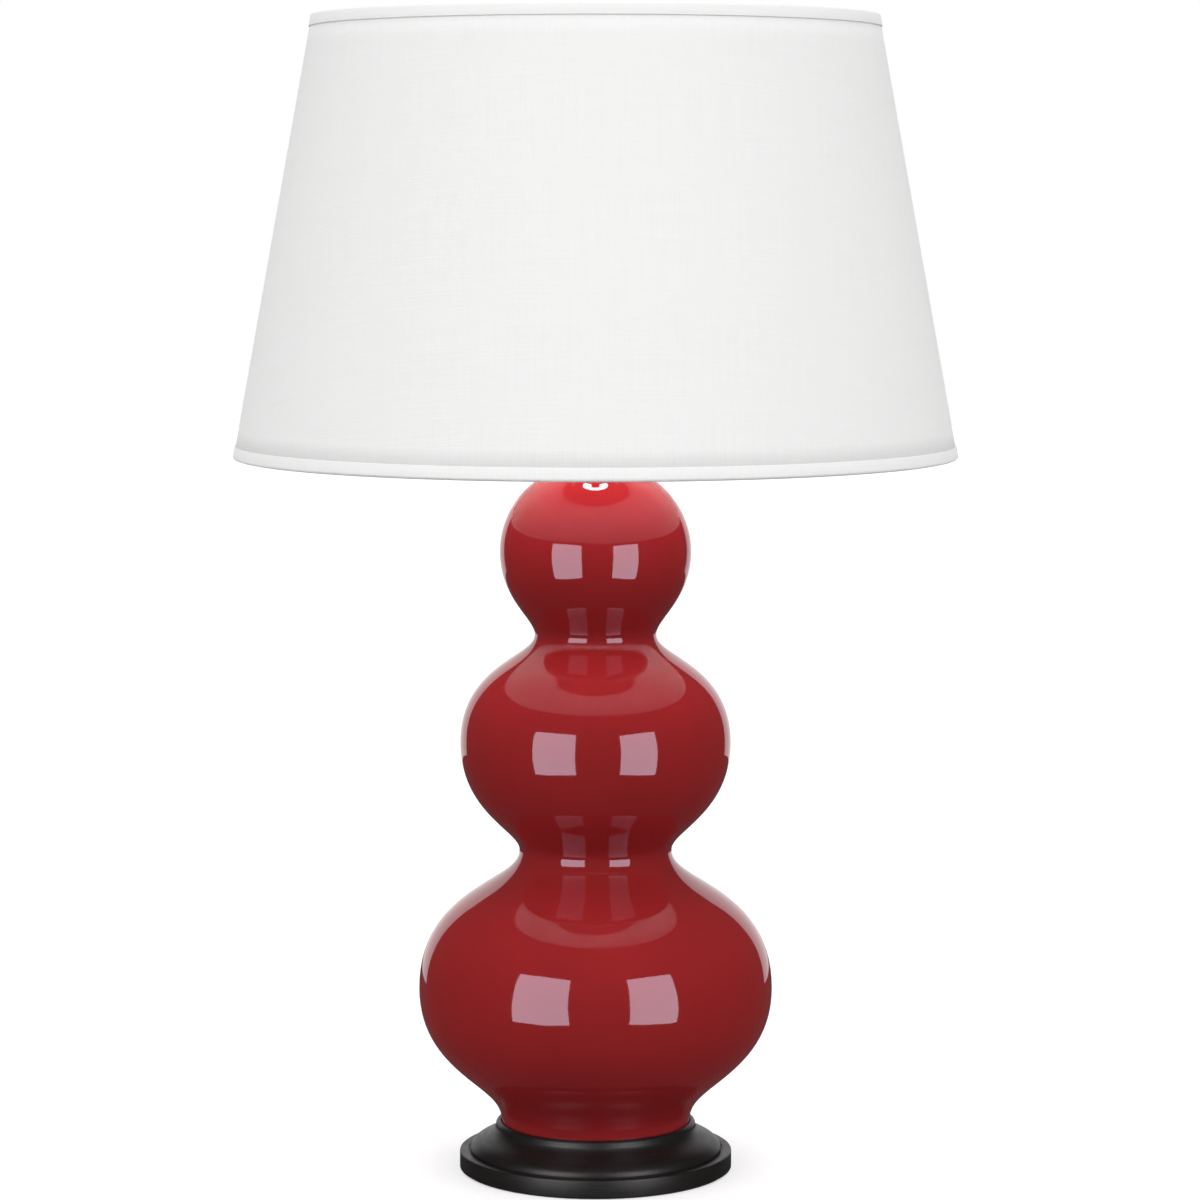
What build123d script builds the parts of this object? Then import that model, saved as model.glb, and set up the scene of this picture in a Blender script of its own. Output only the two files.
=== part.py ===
from build123d import *
import os
from math import sqrt

os.makedirs("parts", exist_ok=True)

# A table lamp: a hollow glazed ceramic gourd with three bellies on a turned plinth, drawn
# together by one threaded pipe, with a screw-base socket and bulb, a harp over the bulb, and a
# hardback shade on a spider that the finial holds down. Sizes are millimetres, Z is up, and the
# origin is the middle of the felt's underside. The front of the lamp faces -Y.

# Fits
glue_gap = 0.1  # between curved faces that are glued, laminated or pushed together
thread_gap = 0.05  # between a thread and its nut
slip_gap = 0.2  # between the pipe and what only slips over it
running_gap = 0.08  # between a sliding or turning piece and what guides it

# Felt and plinth
felt_thickness = 1.2
felt_inset = 1.9
plinth_radius = 92.3
plinth_band = 11.8  # the upright band at the foot, above the felt
plinth_edge_round = 0.9
plinth_shoulder_radius = 85.3  # where the ogee springs from the band's ledge
plinth_ogee_rise = 17.6
plinth_ogee_full = 0.55
plinth_ogee_hollow = 0.48
quirk_width = 1.1  # the fine groove turned at the ogee's foot
quirk_depth = 0.8
collar_round = 2.6
collar_wall = 3.2
collar_gap = 0.5  # the dark line between the collar and the gourd's foot
seat_depth = 5.2  # how far the seat lies below the collar's top
cavity_radius = 26.0
cavity_depth = 13.0
cord_hole_radius = 4.5
cord_hole_height = 7.1

# Cord bushing at the back of the plinth
bushing_bore = 3.1
bushing_length = 14.0
bushing_flange_radius = 5.3
bushing_flange = 1.0

# Gourd: radii outside, heights above its foot
gourd_wall = 5.5
gourd_floor = 7.0
foot_radius = 64.0
foot_height = 4.4
foot_ring_width = 10.0
foot_ring_height = 1.5
low_belly_radius = 119.5
low_belly_height = 95.2
low_neck_radius = 51.4
low_neck_height = 189.7
middle_belly_radius = 91.2
middle_belly_height = 262.7
high_neck_radius = 41.0
high_neck_height = 335.5
top_belly_radius = 64.3
top_belly_height = 391.7
mouth_radius = 24.0
shoulder_rise = 53.7  # from the top belly up to the mouth
mouth_hole_radius = 17.0
floor_hole_radius = 8.0
# How full each stretch is at its belly and how hollow at its waist, as shares of its rise
foot_to_low_belly = (0.62, 0.305)
low_belly_to_low_neck = (0.72, 0.26)
low_neck_to_middle_belly = (0.645, 0.185)
middle_belly_to_high_neck = (0.715, 0.21)
high_neck_to_top_belly = (0.578, 0.202)
shoulder_full = 0.602
shoulder_flat = 13.75  # how far the shoulder levels out before the mouth

# Gaskets, washers, nut and pipe
foot_gasket_thickness = 1.0
foot_gasket_width = 8.0
mouth_gasket_thickness = 0.8
mouth_gasket_lip = 2.0  # how far the gasket stops short of the mouth's hole
pipe_radius = 5.1
pipe_bore = 3.4
pipe_below_nut = 2.0
washer_radius = 16.0
washer_thickness = 1.6
lock_washer_radius = 8.6
lock_washer_thickness = 1.2
lock_washer_slit = 1.4
nut_across_flats = 17.5
nut_height = 4.8

# Vase cap and neck
cap_radius = 26.5
cap_height = 5.2
cap_sheet = 1.2
cap_flange_width = 4.5
cap_hub_radius = 9.5
neck_radius = 9.0
neck_waist = 6.8
neck_height = 8.0
neck_bead = 1.5

# Harp and its saddle
saddle_sheet = 1.6
saddle_strap_width = 7.0
saddle_disc_radius = 10.5
leg_spread = 63.0  # between the middles of the two straight legs
post_height = 14.0
lap_length = 6.0  # the half lap where leg and post meet inside the sleeve
wire_radius = 2.0
harp_height = 266.7  # from the saddle's top to the shade's seat
harp_width = 118.0  # between the middles of the wire at the widest place
harp_straight = 44.0  # length of each straight leg above the saddle
harp_belly_height = 118.0
harp_shoulder_spread = 100.0
harp_shoulder_height = 212.0
harp_arch_spread = 60.0
harp_leg_bend = 45.0
harp_side_bend = 160.0
harp_shoulder_bend = 62.0
harp_arch_bend = 32.0
sleeve_length = 20.0
sleeve_wall = 1.1
stud_radius = 3.17
stud_length = 9.5  # thread that stands above the spider's hub
stud_boss_radius = 5.0
stud_boss_below = 3.4
stud_shoulder_radius = 8.0
stud_shoulder = 1.6
stud_wire_drop = 4.4  # from the shade's seat to the middle of the wire

# Socket
hub_radius = 7.5
hub_height = 6.0
pipe_in_hub = 9.0
socket_radius = 17.4
socket_sheet = 0.5
socket_dome_height = 12.5
socket_skirt = 5.0
shell_height = 38.5
shell_bead = 0.9
shell_bead_low = 6.0  # the bead's two edges, below the shell's rim
shell_bead_high = 3.0
liner_wall = 0.8
liner_foot = 1.0  # how far the paper liner starts above the shell's foot
liner_short = 4.0  # how far the paper liner stops below the shell's top
core_radius = 15.5
core_flat = 12.6  # half width between the flats that carry the terminal screws
core_low = 17.0  # core's underside above the socket's foot
core_height = 16.0
screw_shell_sheet = 0.4
screw_shell_height = 23.0
screw_shell_hole = 8.0
tongue_width = 4.0
tongue_length = 11.0
tongue_flat = 4.0  # level length at each end of the tongue
tongue_rise = 3.6
tongue_sheet = 0.5
terminal_radius = 2.9
terminal_head = 1.8
terminal_shank = 1.5
terminal_depth = 4.0
set_screw_radius = 1.5
set_screw_length = 4.8
screw_slot = 0.6  # width of the slot in every screw's head
screw_slot_depth = 0.6

# Switch
knob_height = 27.0  # spindle's middle above the socket's foot
spindle_radius = 2.0
spindle_seat = 7.0  # inner end of the spindle, from the lamp's axis
spindle_reach = 30.0
slot_clearance = 0.7
knob_radius = 5.6
knob_length = 12.0
knob_start = 22.0
knob_flutes = 12
knob_flute_radius = 0.9
knob_skirt = 3.0  # plain length of the knob before its flutes
knob_chamfer = 1.0

# Bulb
bulb_base_radius = 13.1
bulb_base_sheet = 0.4
bulb_base_height = 24.5
bulb_base_taper = 3.0
bulb_tip_radius = 4.6
bulb_tip = 1.3
bulb_glaze_radius = 9.4
bulb_glaze_height = 3.0
bulb_radius = 33.35
bulb_length = 133.0
bulb_neck_radius = 14.6
bulb_neck_in_base = 5.0
bulb_glass = 0.8
stem_radius = 4.5
stem_height = 46.0
stem_flare_edge = 1.0
stem_flare_rise = 9.0  # height over which the flare draws in to the stem
support_rise = 14.0  # height of the filament above the stem's top
support_root = 2.0  # how deep the supports are sunk in the stem
support_radius = 0.4
support_spread = 13.0
filament_radius = 0.9

# Shade
shade_bottom_radius = 241.3
shade_top_radius = 187.4
shade_slant = 297.4
spider_drop = 19.0  # the hub's top lies this far below the shade's top edge
fabric_thickness = 0.6
backing_thickness = 0.5
hem_width = 8.3
hem_inner_width = 6.4
hem_thickness = 0.7
ring_wire_radius = 1.5
hub_disc_radius = 12.0
hub_disc_thickness = 1.2
spider_arms = 3
arm_radius = 1.6
arm_bend = 9.0
arm_level_share = 0.9  # share of the way out that each arm stays level

# Finial
finial_base_radius = 6.6
finial_base_height = 7.0
finial_waist = 1.4  # how far the base's waist is cut in
finial_waist_low = 2.2
finial_waist_high = 5.4
finial_lip = 1.2  # height of the lip under the ball's neck
finial_lip_inset = 0.6
finial_ball_radius = 8.0
finial_neck_radius = 4.2
finial_neck = 2.0
finial_hole_extra = 0.8

# Heights of the joints between pieces, worked up from the table
plinth_foot = felt_thickness
plinth_ledge = plinth_foot + plinth_band
collar_root = plinth_ledge + plinth_ogee_rise
collar_top = collar_root + collar_round
seat = collar_top - seat_depth
gourd_foot = seat + foot_gasket_thickness
mouth = gourd_foot + top_belly_height + shoulder_rise
cap_foot = mouth + mouth_gasket_thickness
neck_foot = cap_foot + cap_height
saddle_foot = neck_foot + neck_height
socket_foot = saddle_foot + saddle_sheet
shade_seat = socket_foot + harp_height
hub_top = shade_seat + hub_disc_thickness
shade_top = hub_top + spider_drop
cavity_roof = plinth_foot + cavity_depth
washer_foot = cavity_roof - washer_thickness
lock_washer_foot = washer_foot - lock_washer_thickness
nut_foot = lock_washer_foot - nut_height
pipe_foot = nut_foot - pipe_below_nut
pipe_top = socket_foot + pipe_in_hub
pipe_hole = pipe_radius + slip_gap
collar_bore = foot_radius + collar_gap
collar_radius = collar_bore + collar_wall
skirt_foot = socket_foot + hub_height + socket_dome_height
shell_top = skirt_foot + shell_height
liner_radius = socket_radius - socket_sheet - glue_gap
screw_shell_radius = bulb_base_radius + running_gap
bulb_throat = bulb_base_radius - bulb_base_sheet - glue_gap
core_top = socket_foot + core_low + core_height
bulb_foot = core_top + tongue_rise + glue_gap
bulb_base_foot = bulb_foot + bulb_tip + bulb_glaze_height
bulb_top = bulb_foot + bulb_length
switch_height = socket_foot + knob_height
leg = leg_spread / 2


def spot(radius, height):
    """A point of an outline, which is drawn flat before it is turned about the lamp's axis."""
    return Vector(radius, height)


def path(*spots):
    """The straight edges that join (radius, height) spots in order."""
    return Polyline(*[spot(*s) for s in spots]).edges()


def turned(*edges):
    """The solid that a closed outline makes when it is turned about the lamp's axis."""
    return Rot(90, 0, 0) * revolve(make_face(edges), Axis.Y)


def turned_polygon(*spots):
    """A turned solid whose outline is straight from spot to spot."""
    return turned(*path(*spots, spots[0]))


def tube(inner, outer, low, high):
    """A plain ring, washer or tube about the lamp's axis."""
    return turned_polygon((inner, low), (outer, low), (outer, high), (inner, high))


def rod(radius, start, end):
    """A round rod from one point to another."""
    run = Vector(*end) - Vector(*start)
    return Plane(origin=start, z_dir=run) * Cylinder(
        radius, run.length, align=(Align.CENTER, Align.CENTER, Align.MIN)
    )


def s_curve(belly, waist, full, hollow, inset=0.0):
    """The turned S from a belly to a waist, upright at both, each a (radius, height).

    full and hollow are the reach of its two handles, as shares of its rise. With an inset it is
    the inner face of a wall that thick: the end curvatures are the outer ones less the wall.
    """
    rise = waist[1] - belly[1]
    swing = belly[0] - waist[0]
    way = 1 if rise > 0 else -1
    belly_reach = way * sqrt((full * rise) ** 2 - inset * swing / 1.5)
    waist_reach = way * sqrt((hollow * rise) ** 2 + inset * swing / 1.5)
    return Bezier(
        spot(belly[0] - inset, belly[1]),
        spot(belly[0] - inset, belly[1] + belly_reach),
        spot(waist[0] - inset, waist[1] - waist_reach),
        spot(waist[0] - inset, waist[1]),
    )


def shoulder_curve(belly, mouth_edge, full, flat, inset=0.0):
    """The turned quarter from a belly, upright, to a level edge, with an inset as in s_curve."""
    rise = mouth_edge[1] - belly[1]
    swing = belly[0] - mouth_edge[0] - flat
    belly_reach = sqrt((full * rise) ** 2 - inset * swing / 1.5)
    edge_reach = sqrt(flat**2 - inset * (1 - full) * rise / 1.5)
    return Bezier(
        spot(belly[0] - inset, belly[1]),
        spot(belly[0] - inset, belly[1] + belly_reach),
        spot(mouth_edge[0] + edge_reach, mouth_edge[1] - inset),
        spot(mouth_edge[0], mouth_edge[1] - inset),
    )


def save(node, solid):
    """Write one node's STEP file."""
    export_step(solid, f"parts/{node}.step")


# Foot


def felt_pad():
    return tube(0, plinth_radius - felt_inset, 0, felt_thickness)


def plinth():
    edge = plinth_radius - plinth_edge_round
    shoulder = (plinth_shoulder_radius, plinth_ledge)
    root = (collar_radius, collar_root)
    bead_top = collar_radius - collar_round
    body = turned(
        *path(
            (pipe_hole, cavity_roof),
            (cavity_radius, cavity_roof),
            (cavity_radius, plinth_foot),
            (plinth_radius, plinth_foot),
            (plinth_radius, plinth_ledge - plinth_edge_round),
        ),
        RadiusArc(
            spot(plinth_radius, plinth_ledge - plinth_edge_round),
            spot(edge, plinth_ledge),
            -plinth_edge_round,
        ),
        *path(
            (edge, plinth_ledge),
            (plinth_shoulder_radius + quirk_width, plinth_ledge),
            (plinth_shoulder_radius + quirk_width, plinth_ledge - quirk_depth),
            (plinth_shoulder_radius, plinth_ledge - quirk_depth),
            shoulder,
        ),
        s_curve(shoulder, root, plinth_ogee_full, plinth_ogee_hollow),
        RadiusArc(spot(*root), spot(bead_top, collar_top), -collar_round),
        *path(
            (bead_top, collar_top),
            (collar_bore, collar_top),
            (collar_bore, seat),
            (pipe_hole, seat),
            (pipe_hole, cavity_roof),
        ),
    )
    return body - rod(
        cord_hole_radius, (0, 0, cord_hole_height), (0, 2 * plinth_radius, cord_hole_height)
    )


def cord_bushing():
    """A flanged bushing pushed into the hole at the back of the band."""
    barrel = rod(
        cord_hole_radius - glue_gap,
        (0, plinth_radius - bushing_length, cord_hole_height),
        (0, plinth_radius, cord_hole_height),
    )
    flange = rod(
        bushing_flange_radius,
        (0, plinth_radius, cord_hole_height),
        (0, plinth_radius + bushing_flange, cord_hole_height),
    )
    bore = rod(
        bushing_bore,
        (0, plinth_radius - bushing_length, cord_hole_height),
        (0, plinth_radius + bushing_flange, cord_hole_height),
    )
    return barrel + flange - bore


def foot_washer():
    return tube(pipe_hole, washer_radius, washer_foot, cavity_roof)


def lock_washer():
    ring = tube(pipe_hole, lock_washer_radius, lock_washer_foot, washer_foot)
    slit = Pos(0, lock_washer_radius, lock_washer_foot) * Box(
        lock_washer_slit, 2 * lock_washer_radius, 4 * lock_washer_thickness
    )
    return ring - slit


def foot_nut():
    hexagon = extrude(RegularPolygon(nut_across_flats / 2, 6, major_radius=False), nut_height)
    bore = Cylinder(pipe_radius + thread_gap, 3 * nut_height)
    return Pos(0, 0, nut_foot) * (hexagon - bore)


def lamp_pipe():
    return tube(pipe_bore, pipe_radius, pipe_foot, pipe_top)


def foot_gasket():
    outer = foot_radius - glue_gap
    return tube(outer - foot_gasket_width, outer, seat, gourd_foot)


# Gourd


def gourd_stretches(inset=0.0):
    """The gourd's curved face from its foot up to its mouth, outside or inset by the wall."""
    foot = (foot_radius, gourd_foot + foot_height)
    low_belly = (low_belly_radius, gourd_foot + low_belly_height)
    low_neck = (low_neck_radius, gourd_foot + low_neck_height)
    middle_belly = (middle_belly_radius, gourd_foot + middle_belly_height)
    high_neck = (high_neck_radius, gourd_foot + high_neck_height)
    top_belly = (top_belly_radius, gourd_foot + top_belly_height)
    return [
        s_curve(low_belly, foot, *foot_to_low_belly, inset),
        s_curve(low_belly, low_neck, *low_belly_to_low_neck, inset),
        s_curve(middle_belly, low_neck, *low_neck_to_middle_belly, inset),
        s_curve(middle_belly, high_neck, *middle_belly_to_high_neck, inset),
        s_curve(top_belly, high_neck, *high_neck_to_top_belly, inset),
        shoulder_curve(top_belly, (mouth_radius, mouth), shoulder_full, shoulder_flat, inset),
    ]


def gourd_body():
    """The slip-cast shell: one even wall, a foot ring, a floor with a hole, and the mouth."""
    floor_top = gourd_foot + gourd_floor
    waist = gourd_foot + foot_height
    ring_inner = foot_radius - foot_ring_width
    inner_foot = foot_radius - gourd_wall
    return turned(
        *path(
            (inner_foot, waist),
            (inner_foot, floor_top),
            (floor_hole_radius, floor_top),
            (floor_hole_radius, gourd_foot + foot_ring_height),
            (ring_inner - foot_ring_height, gourd_foot + foot_ring_height),
            (ring_inner, gourd_foot),
            (foot_radius, gourd_foot),
            (foot_radius, waist),
        ),
        *gourd_stretches(),
        *path(
            (mouth_radius, mouth),
            (mouth_hole_radius, mouth),
            (mouth_hole_radius, mouth - gourd_wall),
            (mouth_radius, mouth - gourd_wall),
        ),
        *gourd_stretches(gourd_wall),
    )


def mouth_gasket():
    return tube(mouth_hole_radius + mouth_gasket_lip, mouth_radius, mouth, cap_foot)


# Cap, neck and saddle


def vase_cap():
    """A spun dome that bridges the mouth, with a flat flange and a flat hub."""
    flange = cap_radius - cap_flange_width
    top = cap_foot + cap_height
    return turned(
        *path(
            (flange, cap_foot),
            (cap_radius, cap_foot),
            (cap_radius, cap_foot + cap_sheet),
            (flange, cap_foot + cap_sheet),
        ),
        TangentArc(spot(cap_hub_radius, top), spot(flange, cap_foot + cap_sheet), tangent=(1, 0)),
        *path(
            (cap_hub_radius, top),
            (pipe_hole, top),
            (pipe_hole, top - cap_sheet),
            (cap_hub_radius, top - cap_sheet),
        ),
        TangentArc(spot(cap_hub_radius, top - cap_sheet), spot(flange, cap_foot), tangent=(1, 0)),
    )


def brass_neck():
    """A turned spool between the cap and the saddle."""
    low = neck_foot + neck_bead
    high = neck_foot + neck_height - neck_bead
    return turned(
        *path(
            (neck_radius, high),
            (neck_radius, neck_foot + neck_height),
            (pipe_hole, neck_foot + neck_height),
            (pipe_hole, neck_foot),
            (neck_radius, neck_foot),
            (neck_radius, low),
        ),
        ThreePointArc(
            spot(neck_radius, low), spot(neck_waist, (low + high) / 2), spot(neck_radius, high)
        ),
    )


def lap_cut(side, clearance):
    """The half of a leg that the half lap takes away, on the side towards the lamp's axis."""
    height = lap_length + clearance
    size = 4 * wire_radius
    middle = socket_foot + post_height - height / 2 + clearance
    return Pos(side * (leg - size / 2 + clearance), 0, middle) * Box(size, size, height)


def harp_saddle():
    """A strap with a disc at its middle and two upright posts for the harp's legs."""
    strap = Pos(0, 0, saddle_foot + saddle_sheet / 2) * Box(
        leg_spread, saddle_strap_width, saddle_sheet
    )
    solid = strap + tube(0, saddle_disc_radius, saddle_foot, socket_foot)
    for side in (-1, 1):
        end = Pos(side * leg, 0, saddle_foot + saddle_sheet / 2)
        solid += end * Cylinder(saddle_strap_width / 2, saddle_sheet)
        post = rod(
            wire_radius, (side * leg, 0, socket_foot), (side * leg, 0, socket_foot + post_height)
        )
        solid += post - lap_cut(side, 0)
    return solid - Pos(0, 0, saddle_foot) * Cylinder(pipe_hole, 4 * saddle_sheet)


# Harp


def harp_wire():
    """One bent wire: straight legs, swelling sides and an arch, with a half lap at each foot."""
    foot = socket_foot + post_height - lap_length
    arch = shade_seat - stud_wire_drop
    right = [
        (leg, foot),
        (leg, socket_foot + harp_straight),
        (harp_width / 2, socket_foot + harp_belly_height),
        (harp_shoulder_spread / 2, socket_foot + harp_shoulder_height),
        (harp_arch_spread / 2, arch),
    ]
    left = [(-x, z) for x, z in reversed(right)]
    bends = [harp_leg_bend, harp_side_bend, harp_shoulder_bend, harp_arch_bend]
    line = FilletPolyline(
        *[(x, 0, z) for x, z in right + left], radius=[*bends, *reversed(bends)]
    )
    start = Plane(origin=(leg, 0, foot), z_dir=(0, 0, 1))
    wire = sweep(start * Circle(wire_radius), path=line)
    # each foot keeps only the inner half of the lap, beside the post's outer half
    for side in (-1, 1):
        size = 4 * wire_radius
        low = foot + lap_length / 2
        wire -= Pos(side * (leg + size / 2 - running_gap), 0, low) * Box(size, size, lap_length)
    return wire


def harp_sleeve(side):
    """The sleeve that locks one leg to its post, and slides up the straight leg."""
    inner = wire_radius + running_gap
    return Pos(side * leg, 0, 0) * tube(
        inner, inner + sleeve_wall, socket_foot, socket_foot + sleeve_length
    )


def harp_stud():
    """The boss crimped over the wire, the shoulder that carries the shade, and the thread."""
    middle = shade_seat - stud_wire_drop
    solid = turned_polygon(
        (0, middle - stud_boss_below),
        (stud_boss_radius, middle - stud_boss_below),
        (stud_boss_radius, shade_seat - stud_shoulder),
        (stud_shoulder_radius, shade_seat - stud_shoulder),
        (stud_shoulder_radius, shade_seat),
        (stud_radius, shade_seat),
        (stud_radius, hub_top + stud_length),
        (0, hub_top + stud_length),
    )
    reach = 2 * stud_boss_radius
    return solid - rod(wire_radius + thread_gap, (-reach, 0, middle), (reach, 0, middle))


# Socket


def socket_cap():
    """The domed lower half: a threaded hub on the pipe and a skirt that grips the shell."""
    outer = socket_radius + glue_gap + socket_sheet
    inner = outer - socket_sheet
    dome_foot = socket_foot + hub_height
    top = skirt_foot + socket_skirt
    bore = pipe_radius + thread_gap
    inner_floor = dome_foot + socket_sheet
    return turned(
        *path((hub_radius, dome_foot), (hub_radius, socket_foot), (bore, socket_foot),
              (bore, inner_floor), (hub_radius, inner_floor)),
        TangentArc(spot(inner, skirt_foot), spot(hub_radius, inner_floor), tangent=(0, -1)),
        *path((inner, skirt_foot), (inner, top), (outer, top), (outer, skirt_foot)),
        TangentArc(spot(outer, skirt_foot), spot(hub_radius, dome_foot), tangent=(0, -1)),
    ) - rod(
        set_screw_radius + thread_gap,
        (0, 0, socket_foot + hub_height / 2),
        (0, 2 * hub_radius, socket_foot + hub_height / 2),
    )


def socket_set_screw():
    """The slotted screw that locks the hub on the pipe."""
    height = socket_foot + hub_height / 2
    start = pipe_radius + thread_gap
    end = start + set_screw_length
    screw = rod(set_screw_radius, (0, start, height), (0, end, height))
    return screw - Pos(0, end, height) * Box(
        4 * set_screw_radius, 2 * screw_slot_depth, screw_slot
    )


def spindle_slot(low):
    """The slot, open downward from the spindle, by which a sleeve slips over the switch."""
    width = spindle_radius + slot_clearance
    reach = 2 * socket_radius
    slot = rod(width, (0, 0, switch_height), (0, -reach, switch_height))
    drop = switch_height - low
    return slot + Pos(0, -reach / 2, switch_height - drop / 2) * Box(2 * width, reach, drop)


def socket_shell():
    """The upper half: a thin shell with a rolled bead under its flared rim."""
    inner = socket_radius - socket_sheet
    bead_low = shell_top - shell_bead_low
    bead_high = shell_top - shell_bead_high
    shell = turned(
        *path((socket_radius, bead_low), (socket_radius, skirt_foot), (inner, skirt_foot),
              (inner, shell_top), (socket_radius, shell_top), (socket_radius, bead_high)),
        ThreePointArc(
            spot(socket_radius, bead_high),
            spot(socket_radius + shell_bead, (bead_low + bead_high) / 2),
            spot(socket_radius, bead_low),
        ),
    )
    return shell - spindle_slot(skirt_foot - liner_foot)


def socket_liner():
    """The insulating paper sleeve inside the shell."""
    low = skirt_foot + liner_foot
    sleeve = tube(liner_radius - liner_wall, liner_radius, low, shell_top - liner_short)
    return sleeve - spindle_slot(skirt_foot)


def socket_core():
    """The moulded insulating core that holds the contacts and the switch."""
    low = socket_foot + core_low
    solid = Pos(0, 0, low) * Cylinder(
        core_radius, core_height, align=(Align.CENTER, Align.CENTER, Align.MIN)
    )
    for side in (-1, 1):
        solid -= Pos(side * (core_flat + core_radius), 0, low) * Box(
            2 * core_radius, 4 * core_radius, 4 * core_height
        )
        screw_height = low + core_height / 2
        solid -= rod(
            terminal_shank + thread_gap,
            (side * (core_flat - terminal_depth), 0, screw_height),
            (side * core_radius, 0, screw_height),
        )
    return solid - rod(
        spindle_radius + running_gap,
        (0, -spindle_seat, switch_height),
        (0, -2 * core_radius, switch_height),
    )


def socket_screw_shell():
    """The threaded metal cup that takes the bulb's base."""
    return turned_polygon(
        (screw_shell_hole, core_top),
        (screw_shell_radius + screw_shell_sheet, core_top),
        (screw_shell_radius + screw_shell_sheet, core_top + screw_shell_height),
        (screw_shell_radius, core_top + screw_shell_height),
        (screw_shell_radius, core_top + screw_shell_sheet),
        (screw_shell_hole, core_top + screw_shell_sheet),
    )


def socket_tongue():
    """The bent centre contact that the bulb's tip presses on."""
    half = tongue_length / 2
    rise = core_top + tongue_rise
    bend = half - tongue_flat
    line = [
        (-half, core_top),
        (-bend, core_top),
        (bend, rise - tongue_sheet),
        (half, rise - tongue_sheet),
        (half, rise),
        (bend - tongue_sheet, rise),
        (-bend - tongue_sheet, core_top + tongue_sheet),
        (-half, core_top + tongue_sheet),
    ]
    face = Plane.XZ * make_face(path(*line, line[0]))
    return extrude(face, tongue_width / 2, both=True)


def terminal_screws():
    """Two screws on the core's flats, slotted."""
    height = socket_foot + core_low + core_height / 2
    solids = []
    for side in (-1, 1):
        inner = side * (core_flat - terminal_depth + thread_gap)
        face = side * core_flat
        end = side * (core_flat + terminal_head)
        screw = rod(terminal_shank, (inner, 0, height), (face, 0, height))
        screw += rod(terminal_radius, (face, 0, height), (end, 0, height))
        slot = Pos(end, 0, height) * Box(
            2 * screw_slot_depth, 4 * terminal_radius, screw_slot
        )
        solids.append(screw - slot)
    return Compound(children=solids)


# Switch


def switch_spindle():
    return rod(spindle_radius, (0, -spindle_seat, switch_height),
               (0, -spindle_reach, switch_height))


def switch_knob():
    """The fluted knob on the spindle's outer end."""
    end = knob_start + knob_length
    knob = rod(knob_radius, (0, -knob_start, 0), (0, -end, 0))
    knob = chamfer(knob.edges().group_by(Axis.Y)[0], knob_chamfer)
    flute = rod(
        knob_flute_radius, (0, -knob_start - knob_skirt, knob_radius), (0, -end - 1, knob_radius)
    )
    for i in range(knob_flutes):
        knob -= Rot(0, i * 360 / knob_flutes, 0) * flute
    knob -= rod(spindle_radius + thread_gap, (0, 0, 0), (0, -spindle_reach - thread_gap, 0))
    return Pos(0, 0, switch_height) * knob


# Bulb


def bulb_outline(inset=0.0):
    """The envelope's face, outside or inset by the glass: a sphere that one hollow sweep leaves,
    turning upright at the neck."""
    middle = bulb_top - bulb_radius
    neck = bulb_base_foot + bulb_base_height
    drop = middle - neck
    sweep_radius = (drop**2 + bulb_neck_radius**2 - bulb_radius**2) / (
        2 * (bulb_radius - bulb_neck_radius)
    )
    sphere = bulb_radius - inset
    share = sphere / (bulb_radius + sweep_radius)
    meeting = spot(share * (bulb_neck_radius + sweep_radius), middle - share * drop)
    return (
        TangentArc(spot(bulb_neck_radius - inset, neck), meeting, tangent=(0, 1)),
        TangentArc(spot(0, middle + sphere), meeting, tangent=(1, 0)),
    )


def bulb_envelope():
    """The blown glass, whose neck narrows into the base."""
    neck = bulb_base_foot + bulb_base_height
    low = neck - bulb_neck_in_base
    outer_side, outer_crown = bulb_outline()
    inner_side, inner_crown = bulb_outline(bulb_glass)
    return turned(
        outer_crown,
        outer_side,
        *path(
            (bulb_neck_radius, neck),
            (bulb_throat, neck),
            (bulb_throat, low),
            (bulb_throat - bulb_glass, low),
            (bulb_throat - bulb_glass, neck),
            (bulb_neck_radius - bulb_glass, neck),
        ),
        inner_side,
        inner_crown,
        *path((0, bulb_top - bulb_glass), (0, bulb_top)),
    )


def bulb_base():
    """The screw base, narrowing to its glazed end."""
    foot = bulb_base_foot
    top = foot + bulb_base_height - glue_gap
    sheet = bulb_base_sheet
    return turned_polygon(
        (bulb_glaze_radius - sheet, foot),
        (bulb_glaze_radius, foot),
        (bulb_base_radius, foot + bulb_base_taper),
        (bulb_base_radius, top),
        (bulb_base_radius - sheet, top),
        (bulb_base_radius - sheet, foot + bulb_base_taper + sheet),
    )


def bulb_glaze():
    """The insulating glass between the base and its tip."""
    foot = bulb_base_foot
    return turned_polygon(
        (0, foot - bulb_glaze_height),
        (bulb_tip_radius, foot - bulb_glaze_height),
        (bulb_glaze_radius - bulb_base_sheet, foot),
        (0, foot),
    )


def bulb_contact():
    return tube(0, bulb_tip_radius, bulb_foot, bulb_foot + bulb_tip)


def bulb_mount():
    """The glass stem with its flare, two support wires and the filament between them."""
    neck = bulb_base_foot + bulb_base_height
    low = neck - bulb_neck_in_base
    top = low + stem_height
    flare = bulb_throat - bulb_glass - glue_gap
    stem = turned_polygon(
        (0, low), (flare, low), (flare, low + stem_flare_edge),
        (stem_radius, low + stem_flare_rise), (stem_radius, top), (0, top),
    )
    end = top + support_rise
    for side in (-1, 1):
        stem += rod(support_radius, (side * stem_radius / 2, 0, top - support_root),
                    (side * support_spread, 0, end))
    return stem + rod(filament_radius, (-support_spread, 0, end), (support_spread, 0, end))


# Shade: everything on the cone is placed by its way up the slant and its way out from it

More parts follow.
